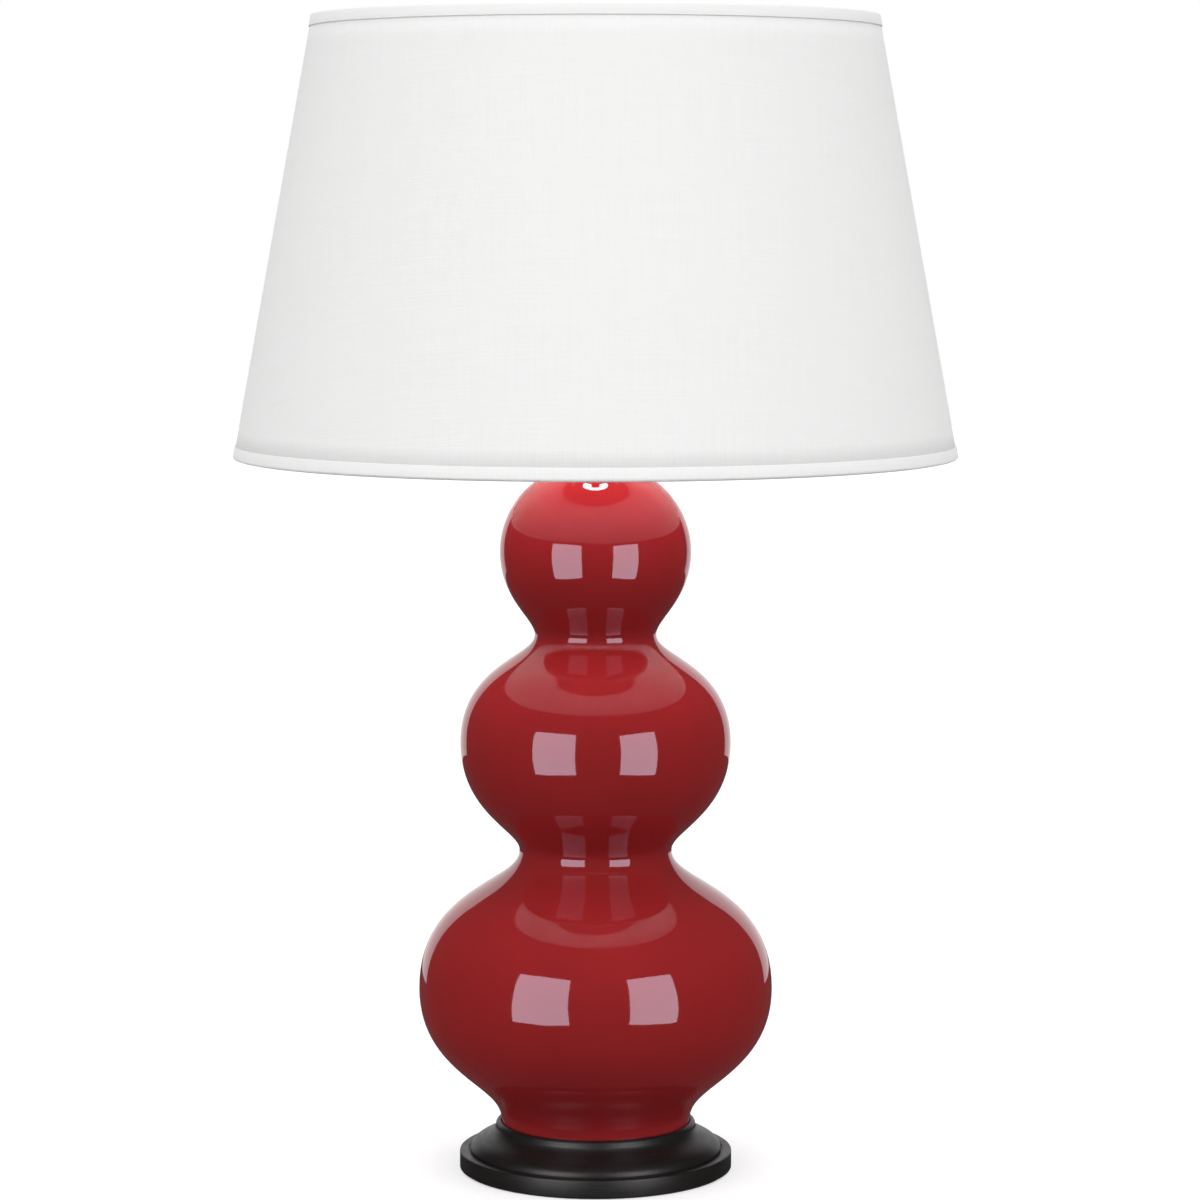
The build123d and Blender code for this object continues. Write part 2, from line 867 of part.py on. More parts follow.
shade_rise = sqrt(shade_slant**2 - (shade_bottom_radius - shade_top_radius) ** 2)
shade_bottom = shade_top - shade_rise
slant_in = (shade_bottom_radius - shade_top_radius) / shade_slant
slant_up = shade_rise / shade_slant
backing_face = -fabric_thickness - glue_gap
backing_inner = backing_face - backing_thickness
ring_middle = backing_inner - glue_gap - ring_wire_radius
hem_inner = ring_middle - ring_wire_radius - glue_gap
hem_clear = hem_thickness + glue_gap


def on_slant(up, out):
    """(radius, height) of a point so far up the slant and so far out from the fabric's face."""
    return (
        shade_bottom_radius - slant_in * up + slant_up * out,
        shade_bottom + slant_up * up + slant_in * out,
    )


def sheet_on_slant(outer, inner):
    """A thin cone between two depths, cut short of the folded edges of both hems."""
    low, high = hem_clear, shade_slant - hem_clear
    return turned_polygon(
        on_slant(low, outer), on_slant(high, outer), on_slant(high, inner), on_slant(low, inner)
    )


def shade_fabric():
    return sheet_on_slant(0, backing_face + glue_gap)


def shade_backing():
    return sheet_on_slant(backing_face, backing_inner)


def hem(edge, way):
    """A folded band over one edge: outside face, fold and inside face, about the ring wire."""
    outside, inside = edge + way * hem_width, edge + way * hem_inner_width
    fold = edge + way * hem_thickness
    return turned_polygon(
        on_slant(outside, glue_gap),
        on_slant(outside, glue_gap + hem_thickness),
        on_slant(edge, glue_gap + hem_thickness),
        on_slant(edge, hem_inner - hem_thickness),
        on_slant(inside, hem_inner - hem_thickness),
        on_slant(inside, hem_inner),
        on_slant(fold, hem_inner),
        on_slant(fold, glue_gap),
    )


def shade_ring(edge, way):
    """The wire ring that holds one edge of the shade round."""
    radius, height = on_slant(edge + way * (hem_clear + ring_wire_radius), ring_middle)
    return Pos(0, 0, height) * Torus(radius, ring_wire_radius)


def spider_arm(extra=0.0):
    """One arm along X, from the hub out to the top ring, with a radius made that much larger."""
    radius, height = on_slant(shade_slant - hem_clear - ring_wire_radius, ring_middle)
    level = hub_top + arm_radius - hub_disc_thickness / 2
    start = hub_disc_radius - arm_radius
    line = FilletPolyline(
        (start, 0, level), (arm_level_share * radius, 0, level), (radius, 0, height),
        radius=arm_bend,
    )
    section = Plane(origin=(start, 0, level), z_dir=(1, 0, 0)) * Circle(arm_radius + extra)
    return sweep(section, path=line)


def arm_turns():
    """The turn of each arm about the lamp's axis; the first points to the back."""
    return [Rot(0, 0, 90 + i * 360 / spider_arms) for i in range(spider_arms)]


def shade_spider():
    """A drilled disc with arms that run out level, turn up and meet the top ring."""
    hub = tube(stud_radius + running_gap, hub_disc_radius, shade_seat, hub_top)
    radius, height = on_slant(shade_slant - hem_clear - ring_wire_radius, ring_middle)
    arm = spider_arm() - Pos(0, 0, height) * Torus(radius, ring_wire_radius + thread_gap)
    arm = arm.solids().sort_by(SortBy.VOLUME)[-1]
    for turn in arm_turns():
        hub += turn * arm
    return hub


def shade_top_hem():
    """The top hem, slit on its inside where each arm reaches the ring."""
    solid = hem(shade_slant, -1)
    for turn in arm_turns():
        solid -= turn * spider_arm(glue_gap)
    return solid


# Finial


def finial_base():
    """The brass base that carries the thread."""
    top = hub_top + finial_base_height
    bore = stud_radius + thread_gap
    waist = finial_base_radius - finial_waist
    lip = finial_base_radius - finial_lip_inset
    low = hub_top + finial_waist_low
    high = hub_top + finial_waist_high
    return turned(
        *path(
            (waist, high), (lip, top - finial_lip), (lip, top), (bore, top), (bore, hub_top),
            (finial_base_radius, hub_top), (finial_base_radius, low),
        ),
        ThreePointArc(
            spot(finial_base_radius, low),
            spot(waist - glue_gap, (low + high) / 2),
            spot(waist, high),
        ),
    )


def finial_knob():
    """The ball on its short neck, drilled for the end of the thread."""
    foot = hub_top + finial_base_height
    middle = foot + finial_neck + finial_ball_radius
    bore = stud_radius + thread_gap
    low = middle - sqrt(finial_ball_radius**2 - finial_neck_radius**2)
    depth = max(hub_top + stud_length + finial_hole_extra, foot + finial_hole_extra)
    return turned(
        *path((0, middle + finial_ball_radius), (0, depth), (bore, depth), (bore, foot),
              (finial_neck_radius, foot), (finial_neck_radius, low)),
        ThreePointArc(
            spot(finial_neck_radius, low),
            spot(finial_ball_radius, middle),
            spot(0, middle + finial_ball_radius),
        ),
    )


pieces = {
    "felt_pad": felt_pad(),
    "plinth": plinth(),
    "cord_bushing": cord_bushing(),
    "foot_washer": foot_washer(),
    "lock_washer": lock_washer(),
    "foot_nut": foot_nut(),
    "lamp_pipe": lamp_pipe(),
    "foot_gasket": foot_gasket(),
    "gourd_body": gourd_body(),
    "mouth_gasket": mouth_gasket(),
    "vase_cap": vase_cap(),
    "brass_neck": brass_neck(),
    "harp_saddle": harp_saddle(),
    "harp_wire": harp_wire(),
    "harp_sleeve_left": harp_sleeve(-1),
    "harp_sleeve_right": harp_sleeve(1),
    "harp_stud": harp_stud(),
    "socket_cap": socket_cap(),
    "socket_set_screw": socket_set_screw(),
    "socket_shell": socket_shell(),
    "socket_liner": socket_liner(),
    "socket_core": socket_core(),
    "socket_screw_shell": socket_screw_shell(),
    "socket_tongue": socket_tongue(),
    "terminal_screws": terminal_screws(),
    "switch_spindle": switch_spindle(),
    "switch_knob": switch_knob(),
    "bulb_envelope": bulb_envelope(),
    "bulb_base": bulb_base(),
    "bulb_glaze": bulb_glaze(),
    "bulb_contact": bulb_contact(),
    "bulb_mount": bulb_mount(),
    "shade_bottom_ring": shade_ring(0, 1),
    "shade_top_ring": shade_ring(shade_slant, -1),
    "shade_spider": shade_spider(),
    "shade_backing": shade_backing(),
    "shade_fabric": shade_fabric(),
    "shade_bottom_hem": hem(0, 1),
    "shade_top_hem": shade_top_hem(),
    "finial_base": finial_base(),
    "finial_knob": finial_knob(),
}

for node, solid in pieces.items():
    save(node, solid)
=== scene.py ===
import math

import bmesh
import bpy
from bpy.props import FloatProperty, FloatVectorProperty, IntProperty, PointerProperty
from mathutils import Matrix, Vector
from mathutils.geometry import interpolate_bezier


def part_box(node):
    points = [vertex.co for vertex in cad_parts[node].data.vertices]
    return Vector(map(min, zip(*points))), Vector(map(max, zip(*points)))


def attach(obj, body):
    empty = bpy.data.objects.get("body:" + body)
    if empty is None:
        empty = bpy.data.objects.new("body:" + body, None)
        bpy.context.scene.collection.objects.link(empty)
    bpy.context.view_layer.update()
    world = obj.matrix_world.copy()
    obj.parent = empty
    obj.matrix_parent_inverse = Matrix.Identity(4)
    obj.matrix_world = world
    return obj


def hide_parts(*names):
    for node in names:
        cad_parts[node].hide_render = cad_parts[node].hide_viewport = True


bl_info = {
    "name": "Triple gourd table lamp",
    "version": (1, 0, 0),
    "blender": (4, 5, 0),
    "location": "View3D > Sidebar > Lamp",
    "description": "Finishes a glazed gourd lamp around its construction model, with its studio",
    "category": "Object",
}

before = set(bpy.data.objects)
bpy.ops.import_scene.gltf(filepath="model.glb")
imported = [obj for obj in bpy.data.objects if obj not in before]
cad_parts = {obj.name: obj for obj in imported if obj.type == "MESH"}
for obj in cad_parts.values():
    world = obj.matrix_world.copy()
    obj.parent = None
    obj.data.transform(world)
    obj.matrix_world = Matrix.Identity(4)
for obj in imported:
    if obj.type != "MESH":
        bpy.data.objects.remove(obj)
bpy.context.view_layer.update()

# Everything is in metres, in the construction model's frame: Z up, the front faces -Y
MERGE = 1e-6
ROUND = 0.5523  # share of a corner's reach that its two curve handles cover
PIPE_HOLE = 0.0053  # radius that clears the lamp pipe
SLIP = 0.0001  # gap that keeps two sheets apart


# Sizes and colours


def length(name, default, about):
    """A length that can be changed, in metres."""
    return FloatProperty(
        name=name, description=about, default=default, min=0.0, unit="LENGTH", precision=5
    )


def pair(name, default, about):
    """Two lengths in metres, mostly a radius and a height above the piece's foot."""
    return FloatVectorProperty(
        name=name, description=about, size=2, default=default, unit="LENGTH", precision=5
    )


def shares(name, default, about):
    """Two plain shares from 0 to 1."""
    return FloatVectorProperty(
        name=name, description=about, size=2, default=default, min=0.0, max=1.0
    )


def tone(name, default, about):
    """A colour as a material takes it."""
    return FloatVectorProperty(
        name=name, description=about, size=3, default=default, min=0.0, max=1.0, subtype="COLOR"
    )


def number(name, default, about, **limits):
    """A plain number."""
    return FloatProperty(name=name, description=about, default=default, **limits)


def angle(name, degrees, about):
    """An angle, given in degrees."""
    return FloatProperty(
        name=name, description=about, default=math.radians(degrees), subtype="ANGLE"
    )


class LampGourd(bpy.types.PropertyGroup):
    """The ceramic body's outline, as radii and heights above its foot."""

    wall: length("Wall", 0.0055, "Thickness of the cast wall")
    floor: length("Floor", 0.007, "Thickness of the floor")
    foot: pair("Foot", (0.064, 0.0044), "Top of the upright foot")
    low_belly: pair("Low belly", (0.1195, 0.0952), "Widest place of the lowest belly")
    low_waist: pair("Low waist", (0.0514, 0.1897), "Narrowest place above the lowest belly")
    middle_belly: pair("Middle belly", (0.0912, 0.2627), "Widest place of the middle belly")
    high_waist: pair("High waist", (0.041, 0.3355), "Narrowest place above the middle belly")
    top_belly: pair("Top belly", (0.0643, 0.3917), "Widest place of the top belly")
    mouth: pair("Mouth", (0.024, 0.4454), "Outer edge of the level mouth")
    foot_fullness: shares("Foot fullness", (0.62, 0.305), "Fullness from low belly to foot")
    low_fullness: shares("Low fullness", (0.72, 0.26), "Fullness from low belly to low waist")
    rising_fullness: shares(
        "Rising fullness", (0.645, 0.185), "Fullness from middle belly down to low waist"
    )
    middle_fullness: shares(
        "Middle fullness", (0.715, 0.21), "Fullness from middle belly to high waist"
    )
    top_fullness: shares(
        "Top fullness", (0.578, 0.202), "Fullness from top belly down to high waist"
    )
    shoulder_fullness: number("Shoulder fullness", 0.602, "Fullness of the top shoulder")
    shoulder_flat: length("Shoulder flat", 0.01375, "How far the shoulder levels out")
    glaze: tone("Glaze", (0.235, 0.0135, 0.0145), "The glaze's red")


class LampPlinth(bpy.types.PropertyGroup):
    """The turned plinth under the gourd."""

    radius: length("Radius", 0.0923, "Radius of the upright band")
    band: length("Band", 0.0118, "Height of the band above the felt")
    edge: length("Edge", 0.0009, "Rounding of the band's edge")
    shoulder: length("Shoulder", 0.0853, "Radius where the ogee springs from the ledge")
    ogee_rise: length("Ogee rise", 0.0176, "Height of the ogee")
    ogee: shares("Ogee", (0.55, 0.48), "How full and how hollow the ogee is")
    groove: pair("Groove", (0.0011, 0.0008), "Width and depth of the groove at the ogee's foot")
    collar: pair("Collar", (0.0026, 0.0032), "Rounding and wall of the collar")
    seat_depth: length("Seat depth", 0.0052, "How far the gourd's seat lies in the collar")
    cavity: length("Cavity", 0.026, "Radius of the hollow that holds the nut")
    cord_hole: length("Cord hole", 0.0045, "Radius of the hole at the back")
    lacquer: tone("Lacquer", (0.0085, 0.0066, 0.0062), "The lacquer's brown black")


class LampShade(bpy.types.PropertyGroup):
    """The tapered shade, measured up and out from its slant."""

    bottom_radius: length("Bottom radius", 0.2413, "Radius of the cloth at the bottom")
    top_radius: length("Top radius", 0.1874, "Radius of the cloth at the top")
    slant: length("Slant", 0.2974, "Length of the slant")
    drop: length("Drop", 0.019, "How far the hub lies below the top edge")
    cloth: length("Cloth", 0.0006, "Thickness of the cloth")
    lining: length("Lining", 0.0005, "Thickness of the stiff lining")
    overlap: length("Overlap", 0.009, "Overlap of the seam at the back")
    hem: length("Hem", 0.0083, "Width of the folded bands outside")
    hem_inside: length("Hem inside", 0.0064, "Width of the folded bands inside")
    band: length("Band", 0.0007, "Thickness of the folded bands")
    ring: length("Ring", 0.0015, "Radius of the ring wires")
    arm: length("Arm", 0.0016, "Radius of the spider's arms")
    hub: length("Hub", 0.012, "Radius of the spider's hub")
    white: tone("White", (0.89, 0.89, 0.888), "The cloth's white")
    lining_white: tone("Lining white", (0.88, 0.88, 0.87), "The lining's white")
    hem_white: tone("Hem white", (0.89, 0.89, 0.886), "The white of the folded bands")


class LampFittings(bpy.types.PropertyGroup):
    """The harp, socket, bulb and finial."""

    wire: length("Wire", 0.002, "Radius of the harp's wire")
    harp_side: pair("Harp side", (0.059, 0.118), "Widest corner of the harp, above the socket")
    harp_shoulder: pair("Harp shoulder", (0.05, 0.212), "Shoulder corner of the harp")
    harp_arch: length("Harp arch", 0.03, "Half width of the harp's arch")
    harp_straight: length("Harp straight", 0.044, "Straight length of each leg")
    socket: length("Socket", 0.0174, "Radius of the socket's shell")
    knob: length("Knob", 0.0056, "Radius of the switch knob")
    flutes: IntProperty(name="Flutes", description="Flutes on the switch knob", default=12)
    bulb: length("Bulb", 0.03335, "Widest radius of the bulb")
    bulb_neck: length("Bulb neck", 0.0146, "Radius of the bulb's neck")
    bulb_base: length("Bulb base", 0.0131, "Radius of the bulb's screw base")
    finial_ball: length("Finial ball", 0.008, "Radius of the finial's ball")
    brass: tone("Brass", (0.66, 0.47, 0.21), "The polished brass")
    glow: number("Glow", 32.0, "Strength of the lit bulb's glass", min=0.0)


class LampStudio(bpy.types.PropertyGroup):
    """The camera and the plain studio."""

    camera_place: FloatVectorProperty(
        name="Camera place", description="Where the camera stands", size=3,
        default=(0.003, -2.654, 0.6539), subtype="XYZ", unit="LENGTH",
    )
    camera_dip: angle("Camera dip", 5.726, "How far the camera looks down")
    camera_lens: number("Camera lens", 119.14, "Focal length in millimetres")
    panel_distance: length("Panel distance", 1.05, "From the lamp to each light panel")
    panel_depth: length("Panel depth", 0.13, "From the lamp's foot down to the panels' lower edges")
    panel_head: length("Panel head", 0.66, "Height of the panels' upper edges")
    panel_turns: FloatVectorProperty(
        name="Panel turns", description="Turn of the left and right panel from the front",
        size=2, default=(math.radians(-34), math.radians(36)), subtype="EULER",
    )
    panel_widths: pair("Panel widths", (0.68, 0.58), "Width of the left and right panel")
    panel_light: number("Panel light", 6.5, "Brightness of the panels' faces")
    bulb_light_size: length("Bulb light size", 0.36, "Width of the light the bulb throws down")
    bulb_light_rise: length("Bulb light rise", 0.03, "From the shade's foot up to that light")
    bulb_light: number("Bulb light", 0.74, "Power of the light the bulb throws down, in watts")
    bulb_warmth: tone("Bulb warmth", (1.0, 0.65, 0.8), "Colour of the bulb's light")
    tent_radius: length("Tent radius", 3.9, "Radius of the dark tent that the glaze mirrors")
    tent_depth: length("Tent depth", 0.4, "From the lamp's foot down to the tent's floor")
    tent_opening: angle("Tent opening", 38, "Half angle of the tent's opening at the back")
    tent_tone: number("Tent tone", 0.055, "Brightness of the tent as the glaze mirrors it")
    upper_light: number("Upper light", 1.1, "Soft light from above the floor")
    lower_light: number("Lower light", 0.62, "Soft light from below the floor")
    front_light: number("Front light", 0.82, "Soft light added from the front")
    floor_radius: length("Floor radius", 9.0, "Radius of the floor")
    floor_tone: number("Floor tone", 0.6, "Grey of the floor as it is seen")
    floor_glow: number("Floor glow", 0.46, "Brightness added to the floor as it is seen")
    floor_bounce: number("Floor bounce", 0.3, "Grey of the floor in the light it throws back")


GROUPS = {
    "lamp_gourd": LampGourd,
    "lamp_plinth": LampPlinth,
    "lamp_shade": LampShade,
    "lamp_fittings": LampFittings,
    "lamp_studio": LampStudio,
}


# Places read from the construction model


def foot_of(node):
    """Height of a node's lowest point."""
    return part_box(node)[0].z


def top_of(node):
    """Height of a node's highest point."""
    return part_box(node)[1].z


def ends_of(node):
    """Heights of a node's lowest and highest points."""
    return foot_of(node), top_of(node)


def reach_of(node):
    """How far a node reaches from the lamp's axis."""
    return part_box(node)[1].x


# Outlines and routes


def round_off(before, here, after, rounding, steps):
    """Points of the arc that rounds off one corner."""
    back = (before - here).normalized()
    onward = (after - here).normalized()
    reach = rounding / math.tan(back.angle(onward) / 2)
    pull = reach * (1 - ROUND)
    return interpolate_bezier(
        here + back * reach, here + back * pull, here + onward * pull, here + onward * reach,
        steps + 1,
    )


def spot(radius, height):
    """A point of an outline that is turned about the lamp's axis."""
    return Vector((radius, 0, height))


def outline(*corners, steps=4):
    """A closed outline from (radius, height) corners, or (radius, height, rounding) ones.

    A list among the corners is a stretch of points that is kept as it is.
    """
    marks = []
    for corner in corners:
        if isinstance(corner, list):
            marks += [(point, 0.0) for point in corner]
        else:
            marks.append((spot(*corner[:2]), corner[2] if len(corner) > 2 else 0.0))
    points = []
    for i, (here, rounding) in enumerate(marks):
        if rounding:
            after = marks[(i + 1) % len(marks)][0]
            points += round_off(marks[i - 1][0], here, after, rounding, steps)
        else:
            points.append(here)
    return points


def route(places, bends, steps=8):
    """The line of a bent wire: straight runs joined by arcs, one bend for each inner corner."""
    points = [places[0]]
    for before, here, after, bend in zip(places, places[1:], places[2:], bends):
        points += round_off(before, here, after, bend, steps)
    return points + [places[-1]]


def curve(start, first, second, end, steps):
    """Points of a curve between two (radius, height) ends with two handles."""
    return interpolate_bezier(spot(*start), spot(*first), spot(*second), spot(*end), steps + 1)


def s_curve(belly, waist, fullness, steps=24, inset=0.0):
    """The S from a belly to a waist, upright at both, or the inner face of a wall that thick."""
    rise = waist[1] - belly[1]
    swing = belly[0] - waist[0]
    way = math.copysign(1.0, rise)
    belly_reach = way * math.sqrt((fullness[0] * rise) ** 2 - inset * swing / 1.5)
    waist_reach = way * math.sqrt((fullness[1] * rise) ** 2 + inset * swing / 1.5)
    return curve(
        (belly[0] - inset, belly[1]),
        (belly[0] - inset, belly[1] + belly_reach),
        (waist[0] - inset, waist[1] - waist_reach),
        (waist[0] - inset, waist[1]),
        steps,
    )


def shoulder_curve(belly, mouth, fullness, flat, steps=24, inset=0.0):
    """The quarter from a belly, upright, to the level mouth."""
    rise = mouth[1] - belly[1]
    swing = belly[0] - mouth[0] - flat
    belly_reach = math.sqrt((fullness * rise) ** 2 - inset * swing / 1.5)
    mouth_reach = math.sqrt(flat**2 - inset * (1 - fullness) * rise / 1.5)
    return curve(
        (belly[0] - inset, belly[1]),
        (belly[0] - inset, belly[1] + belly_reach),
        (mouth[0] + mouth_reach, mouth[1] - inset),
        (mouth[0], mouth[1] - inset),
        steps,
    )


def tangent_arc(start, end, heading, steps):
    """Points of the arc that sets out along a heading and ends at a given place."""
    start, chord, ahead = spot(*start), spot(*end) - spot(*start), spot(*heading)
    side = Vector((-ahead.z, 0, ahead.x))
    radius = chord.length_squared / (2 * chord.dot(side))
    turn = 2 * math.atan2(chord.dot(side), chord.dot(ahead))
    centre = start + side * radius
    swings = [turn * i / steps for i in range(steps + 1)]
    return [centre + radius * (ahead * math.sin(a) - side * math.cos(a)) for a in swings]


def arc(centre, radius, start, end, steps=24):
    """Points of an arc in an outline, between two angles in degrees from level outward."""
    turns = [math.radians(start + (end - start) * i / steps) for i in range(steps + 1)]
    return [
        spot(centre[0] + radius * math.cos(t), centre[1] + radius * math.sin(t)) for t in turns
    ]


# Shapes


def turned(points, steps=96):
    """A closed shape made by turning an outline about the lamp's axis."""
    shape = bmesh.new()
    ring = [shape.verts.new(point) for point in points]
    edges = [
        shape.edges.new(ends)
        for ends in zip(ring, ring[1:] + ring[:1])
        if max(ends[0].co.x, ends[1].co.x) > MERGE
    ]
    bmesh.ops.spin(
        shape, geom=ring + edges, cent=(0, 0, 0), axis=(0, 0, 1), angle=math.tau, steps=steps,
        use_merge=True,
    )
    bmesh.ops.remove_doubles(shape, verts=shape.verts, dist=MERGE)
    bmesh.ops.recalc_face_normals(shape, faces=shape.faces)
    return shape


def lathe(steps, *corners):
    """A closed shape turned from the outline that the corners give."""
    return turned(outline(*corners), steps)


def tube(inner, outer, low, high, rounding=0.0, steps=96):
    """A plain ring or tube about the lamp's axis, with its edges rounded off."""
    corners = [(inner, low), (outer, low), (outer, high), (inner, high)]
    if inner <= MERGE:
        return lathe(steps, (0, low), (outer, low, rounding), (outer, high, rounding), (0, high))
    return lathe(steps, *[(r, z, rounding) for r, z in corners])


def swept(line, radius, sides=6):
    """A round wire along a line of points, closed at both ends."""
    path = bpy.data.curves.new("wire_line", "CURVE")
    path.dimensions = "3D"
    path.bevel_depth = radius
    path.bevel_resolution = sides
    path.use_fill_caps = True
    spline = path.splines.new("POLY")
    spline.points.add(len(line) - 1)
    for point, place in zip(spline.points, line):
        point.co = (*place, 1)
    holder = bpy.data.objects.new("wire_line", path)
    mesh = bpy.data.meshes.new_from_object(holder)
    shape = bmesh.new()
    shape.from_mesh(mesh)
    bpy.data.objects.remove(holder)
    bpy.data.curves.remove(path)
    bpy.data.meshes.remove(mesh)
    bmesh.ops.remove_doubles(shape, verts=shape.verts, dist=MERGE)
    bmesh.ops.recalc_face_normals(shape, faces=shape.faces)
    return shape


def slab(size, place, rounding):
    """A block with rounded edges."""
    shape = bmesh.new()
    bmesh.ops.create_cube(shape, size=1.0, matrix=Matrix.Diagonal((*size, 1)))
    bmesh.ops.translate(shape, verts=shape.verts, vec=place)
    bmesh.ops.bevel(
        shape, geom=shape.edges, offset=rounding, segments=3, profile=0.5, affect="EDGES",
        material=-1,
    )
    return shape


def joined(*shapes):
    """Several shapes as one."""
    whole = bmesh.new()
    for shape in shapes:
        mesh = bpy.data.meshes.new("part_of_whole")
        shape.to_mesh(mesh)
        shape.free()
        whole.from_mesh(mesh)
        bpy.data.meshes.remove(mesh)
    return whole


def moved(shape, place=(0, 0, 0), turn=0.0, axis="Z"):
    """The same shape turned about an axis of the frame, and then moved."""
    bmesh.ops.rotate(
        shape, verts=shape.verts, cent=(0, 0, 0), matrix=Matrix.Rotation(turn, 3, axis)
    )
    bmesh.ops.translate(shape, verts=shape.verts, vec=place)
    return shape


def cut_thread(shape, radius, low, high, pitch, depth):
    """Press a screw thread into the upright wall of a turned shape."""
    for vert in shape.verts:
        reach = math.hypot(vert.co.x, vert.co.y)
        if abs(reach - radius) > MERGE * 10 or not low < vert.co.z < high:
            continue
        turn = math.atan2(vert.co.y, vert.co.x)
        wave = 0.5 - 0.5 * math.cos(math.tau * (vert.co.z / pitch) - turn)
        fade = min(1.0, (vert.co.z - low) / pitch, (high - vert.co.z) / pitch)
        scale = 1 - depth * wave * fade / radius
        vert.co.x *= scale
        vert.co.y *= scale
    return shape


def placed(shape, name, *materials):
    """Turn a shape into an object of the scene."""
    mesh = bpy.data.meshes.new(name)
    shape.to_mesh(mesh)
    shape.free()
    for material in materials:
        mesh.materials.append(material)
    thing = bpy.data.objects.new(name, mesh)
    bpy.context.scene.collection.objects.link(thing)
    return thing


def finished(shape, name, body, slot, material, *nodes, crease=32):
    """Turn a shape into a piece that rides on a body and stands for nodes."""
    piece = placed(shape, name, material)
    piece.data.shade_smooth()
    piece.data.set_sharp_from_angle(angle=math.radians(crease))
    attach(piece, body)
    if nodes:
        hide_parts(*nodes)
    return piece


def drill(piece, cutter):
    """Cut a hole through a piece with a shape that is then thrown away."""
    tool = placed(cutter, "cutter")
    hole = piece.modifiers.new("hole", "BOOLEAN")
    hole.operation = "DIFFERENCE"
    hole.solver = "EXACT"
    hole.object = tool
    bpy.context.view_layer.update()
    cut = bpy.data.meshes.new_from_object(
        piece.evaluated_get(bpy.context.evaluated_depsgraph_get())
    )
    if not cut.polygons:
        raise RuntimeError("the hole left nothing of " + piece.name)
    piece.modifiers.remove(hole)
    spent = (piece.data, tool.data)
    piece.data = cut
    cut.name = piece.name
    bpy.data.objects.remove(tool)
    for mesh in spent:
        bpy.data.meshes.remove(mesh)


def dress(material, *nodes):
    """Give construction nodes that stay in sight their finish."""
    for node in nodes:
        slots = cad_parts[node].data.materials
        slots.clear()
        slots.append(material)


# Materials


def add(tree, kind, inputs=None, **settings):
    """A shader node; each input is a plain value or another node's output."""
    node = tree.nodes.new("ShaderNode" + kind)
    for name, value in settings.items():
        setattr(node, name, value)
    for name, value in (inputs or {}).items():
        if isinstance(value, bpy.types.NodeSocket):
            tree.links.new(value, node.inputs[name])
        else:
            node.inputs[name].default_value = value
    return node


def new_finish(name):
    """An empty material and its node tree."""
    material = bpy.data.materials.new(name)
    material.use_nodes = True
    material.node_tree.nodes.clear()
    return material, material.node_tree


def place_of(tree, stretch=(1, 1, 1)):
    """The lamp's own coordinates in metres, stretched along each axis."""
    coords = add(tree, "TexCoord").outputs["Object"]
    return add(tree, "Mapping", {"Vector": coords, "Scale": stretch}).outputs[0]


def cloth_of(tree, stretch=(1, 1, 1), turn=0.0):
    """The cloth's own flat coordinates in metres, stretched and turned."""
    coords = add(tree, "UVMap", uv_map="cut").outputs["UV"]
    return add(
        tree, "Mapping", {"Vector": coords, "Scale": stretch, "Rotation": (0, 0, turn)}
    ).outputs[0]


def noise(tree, where, scale, detail=2.0, roughness=0.5):
    """Even noise from 0 to 1; scale is in patches a metre."""
    return add(
        tree, "TexNoise",
        {"Vector": where, "Scale": scale, "Detail": detail, "Roughness": roughness},
    ).outputs[0]


def calc(tree, operation, first, second):
    """One sum with two numbers."""
    node = add(tree, "Math", operation=operation)
    for socket, value in zip(node.inputs, (first, second)):
        if isinstance(value, bpy.types.NodeSocket):
            tree.links.new(value, socket)
        else:
            socket.default_value = value
    return node.outputs[0]


def between(tree, factor, low, high, to_low=0.0, to_high=1.0):
    """A number rescaled from one range to another, without going past it."""
    return add(
        tree, "MapRange",
        {"Value": factor, "From Min": low, "From Max": high, "To Min": to_low, "To Max": to_high},
    ).outputs[0]


def tones(tree, factor, dark, light, low=0.3, high=0.7):
    """Two colours mixed by a number from low to high."""
    ramp = add(tree, "ValToRGB", {"Fac": factor})
    for element, position, colour in zip(ramp.color_ramp.elements, (low, high), (dark, light)):
        element.position = position
        element.color = (*colour, 1)
    return ramp.outputs[0]


def shade_of(colour, share):
    """The same colour, lighter or darker by a share."""
    return tuple(min(1.0, c * share) for c in colour)


def relief(tree, height, distance, strength=1.0, under=None):
    """A bump from a height pattern, on top of another bump."""
    inputs = {"Height": height, "Distance": distance, "Strength": strength}
    if under:
        inputs["Normal"] = under
    return add(tree, "Bump", inputs).outputs[0]


def surface(tree, colour, roughness, normal=None, **plain):
    """The main shader; plain values sit on its own sockets."""
    shader = add(tree, "BsdfPrincipled")
    for socket, value in {"Base Color": colour, "Roughness": roughness, "Normal": normal}.items():
        if isinstance(value, bpy.types.NodeSocket):
            tree.links.new(value, shader.inputs[socket])
        elif value is not None:
            flat = (*value, 1) if socket == "Base Color" else value
            shader.inputs[socket].default_value = flat
    for socket, value in plain.items():
        shader.inputs[socket.replace("_", " ")].default_value = value
    return shader.outputs[0]


def close(tree, shader):
    """Send a shader to the material's output."""
    add(tree, "OutputMaterial", {"Surface": shader})


def blend(tree, share, first, second):
    """Two shaders mixed by the second one's share."""
    return add(tree, "MixShader", {0: share, 1: first, 2: second}).outputs[0]


def glowing(tree, kind, strength):
    """A white shader of that kind and strength."""
    return add(tree, kind, {"Color": (1, 1, 1, 1), "Strength": strength}).outputs[0]


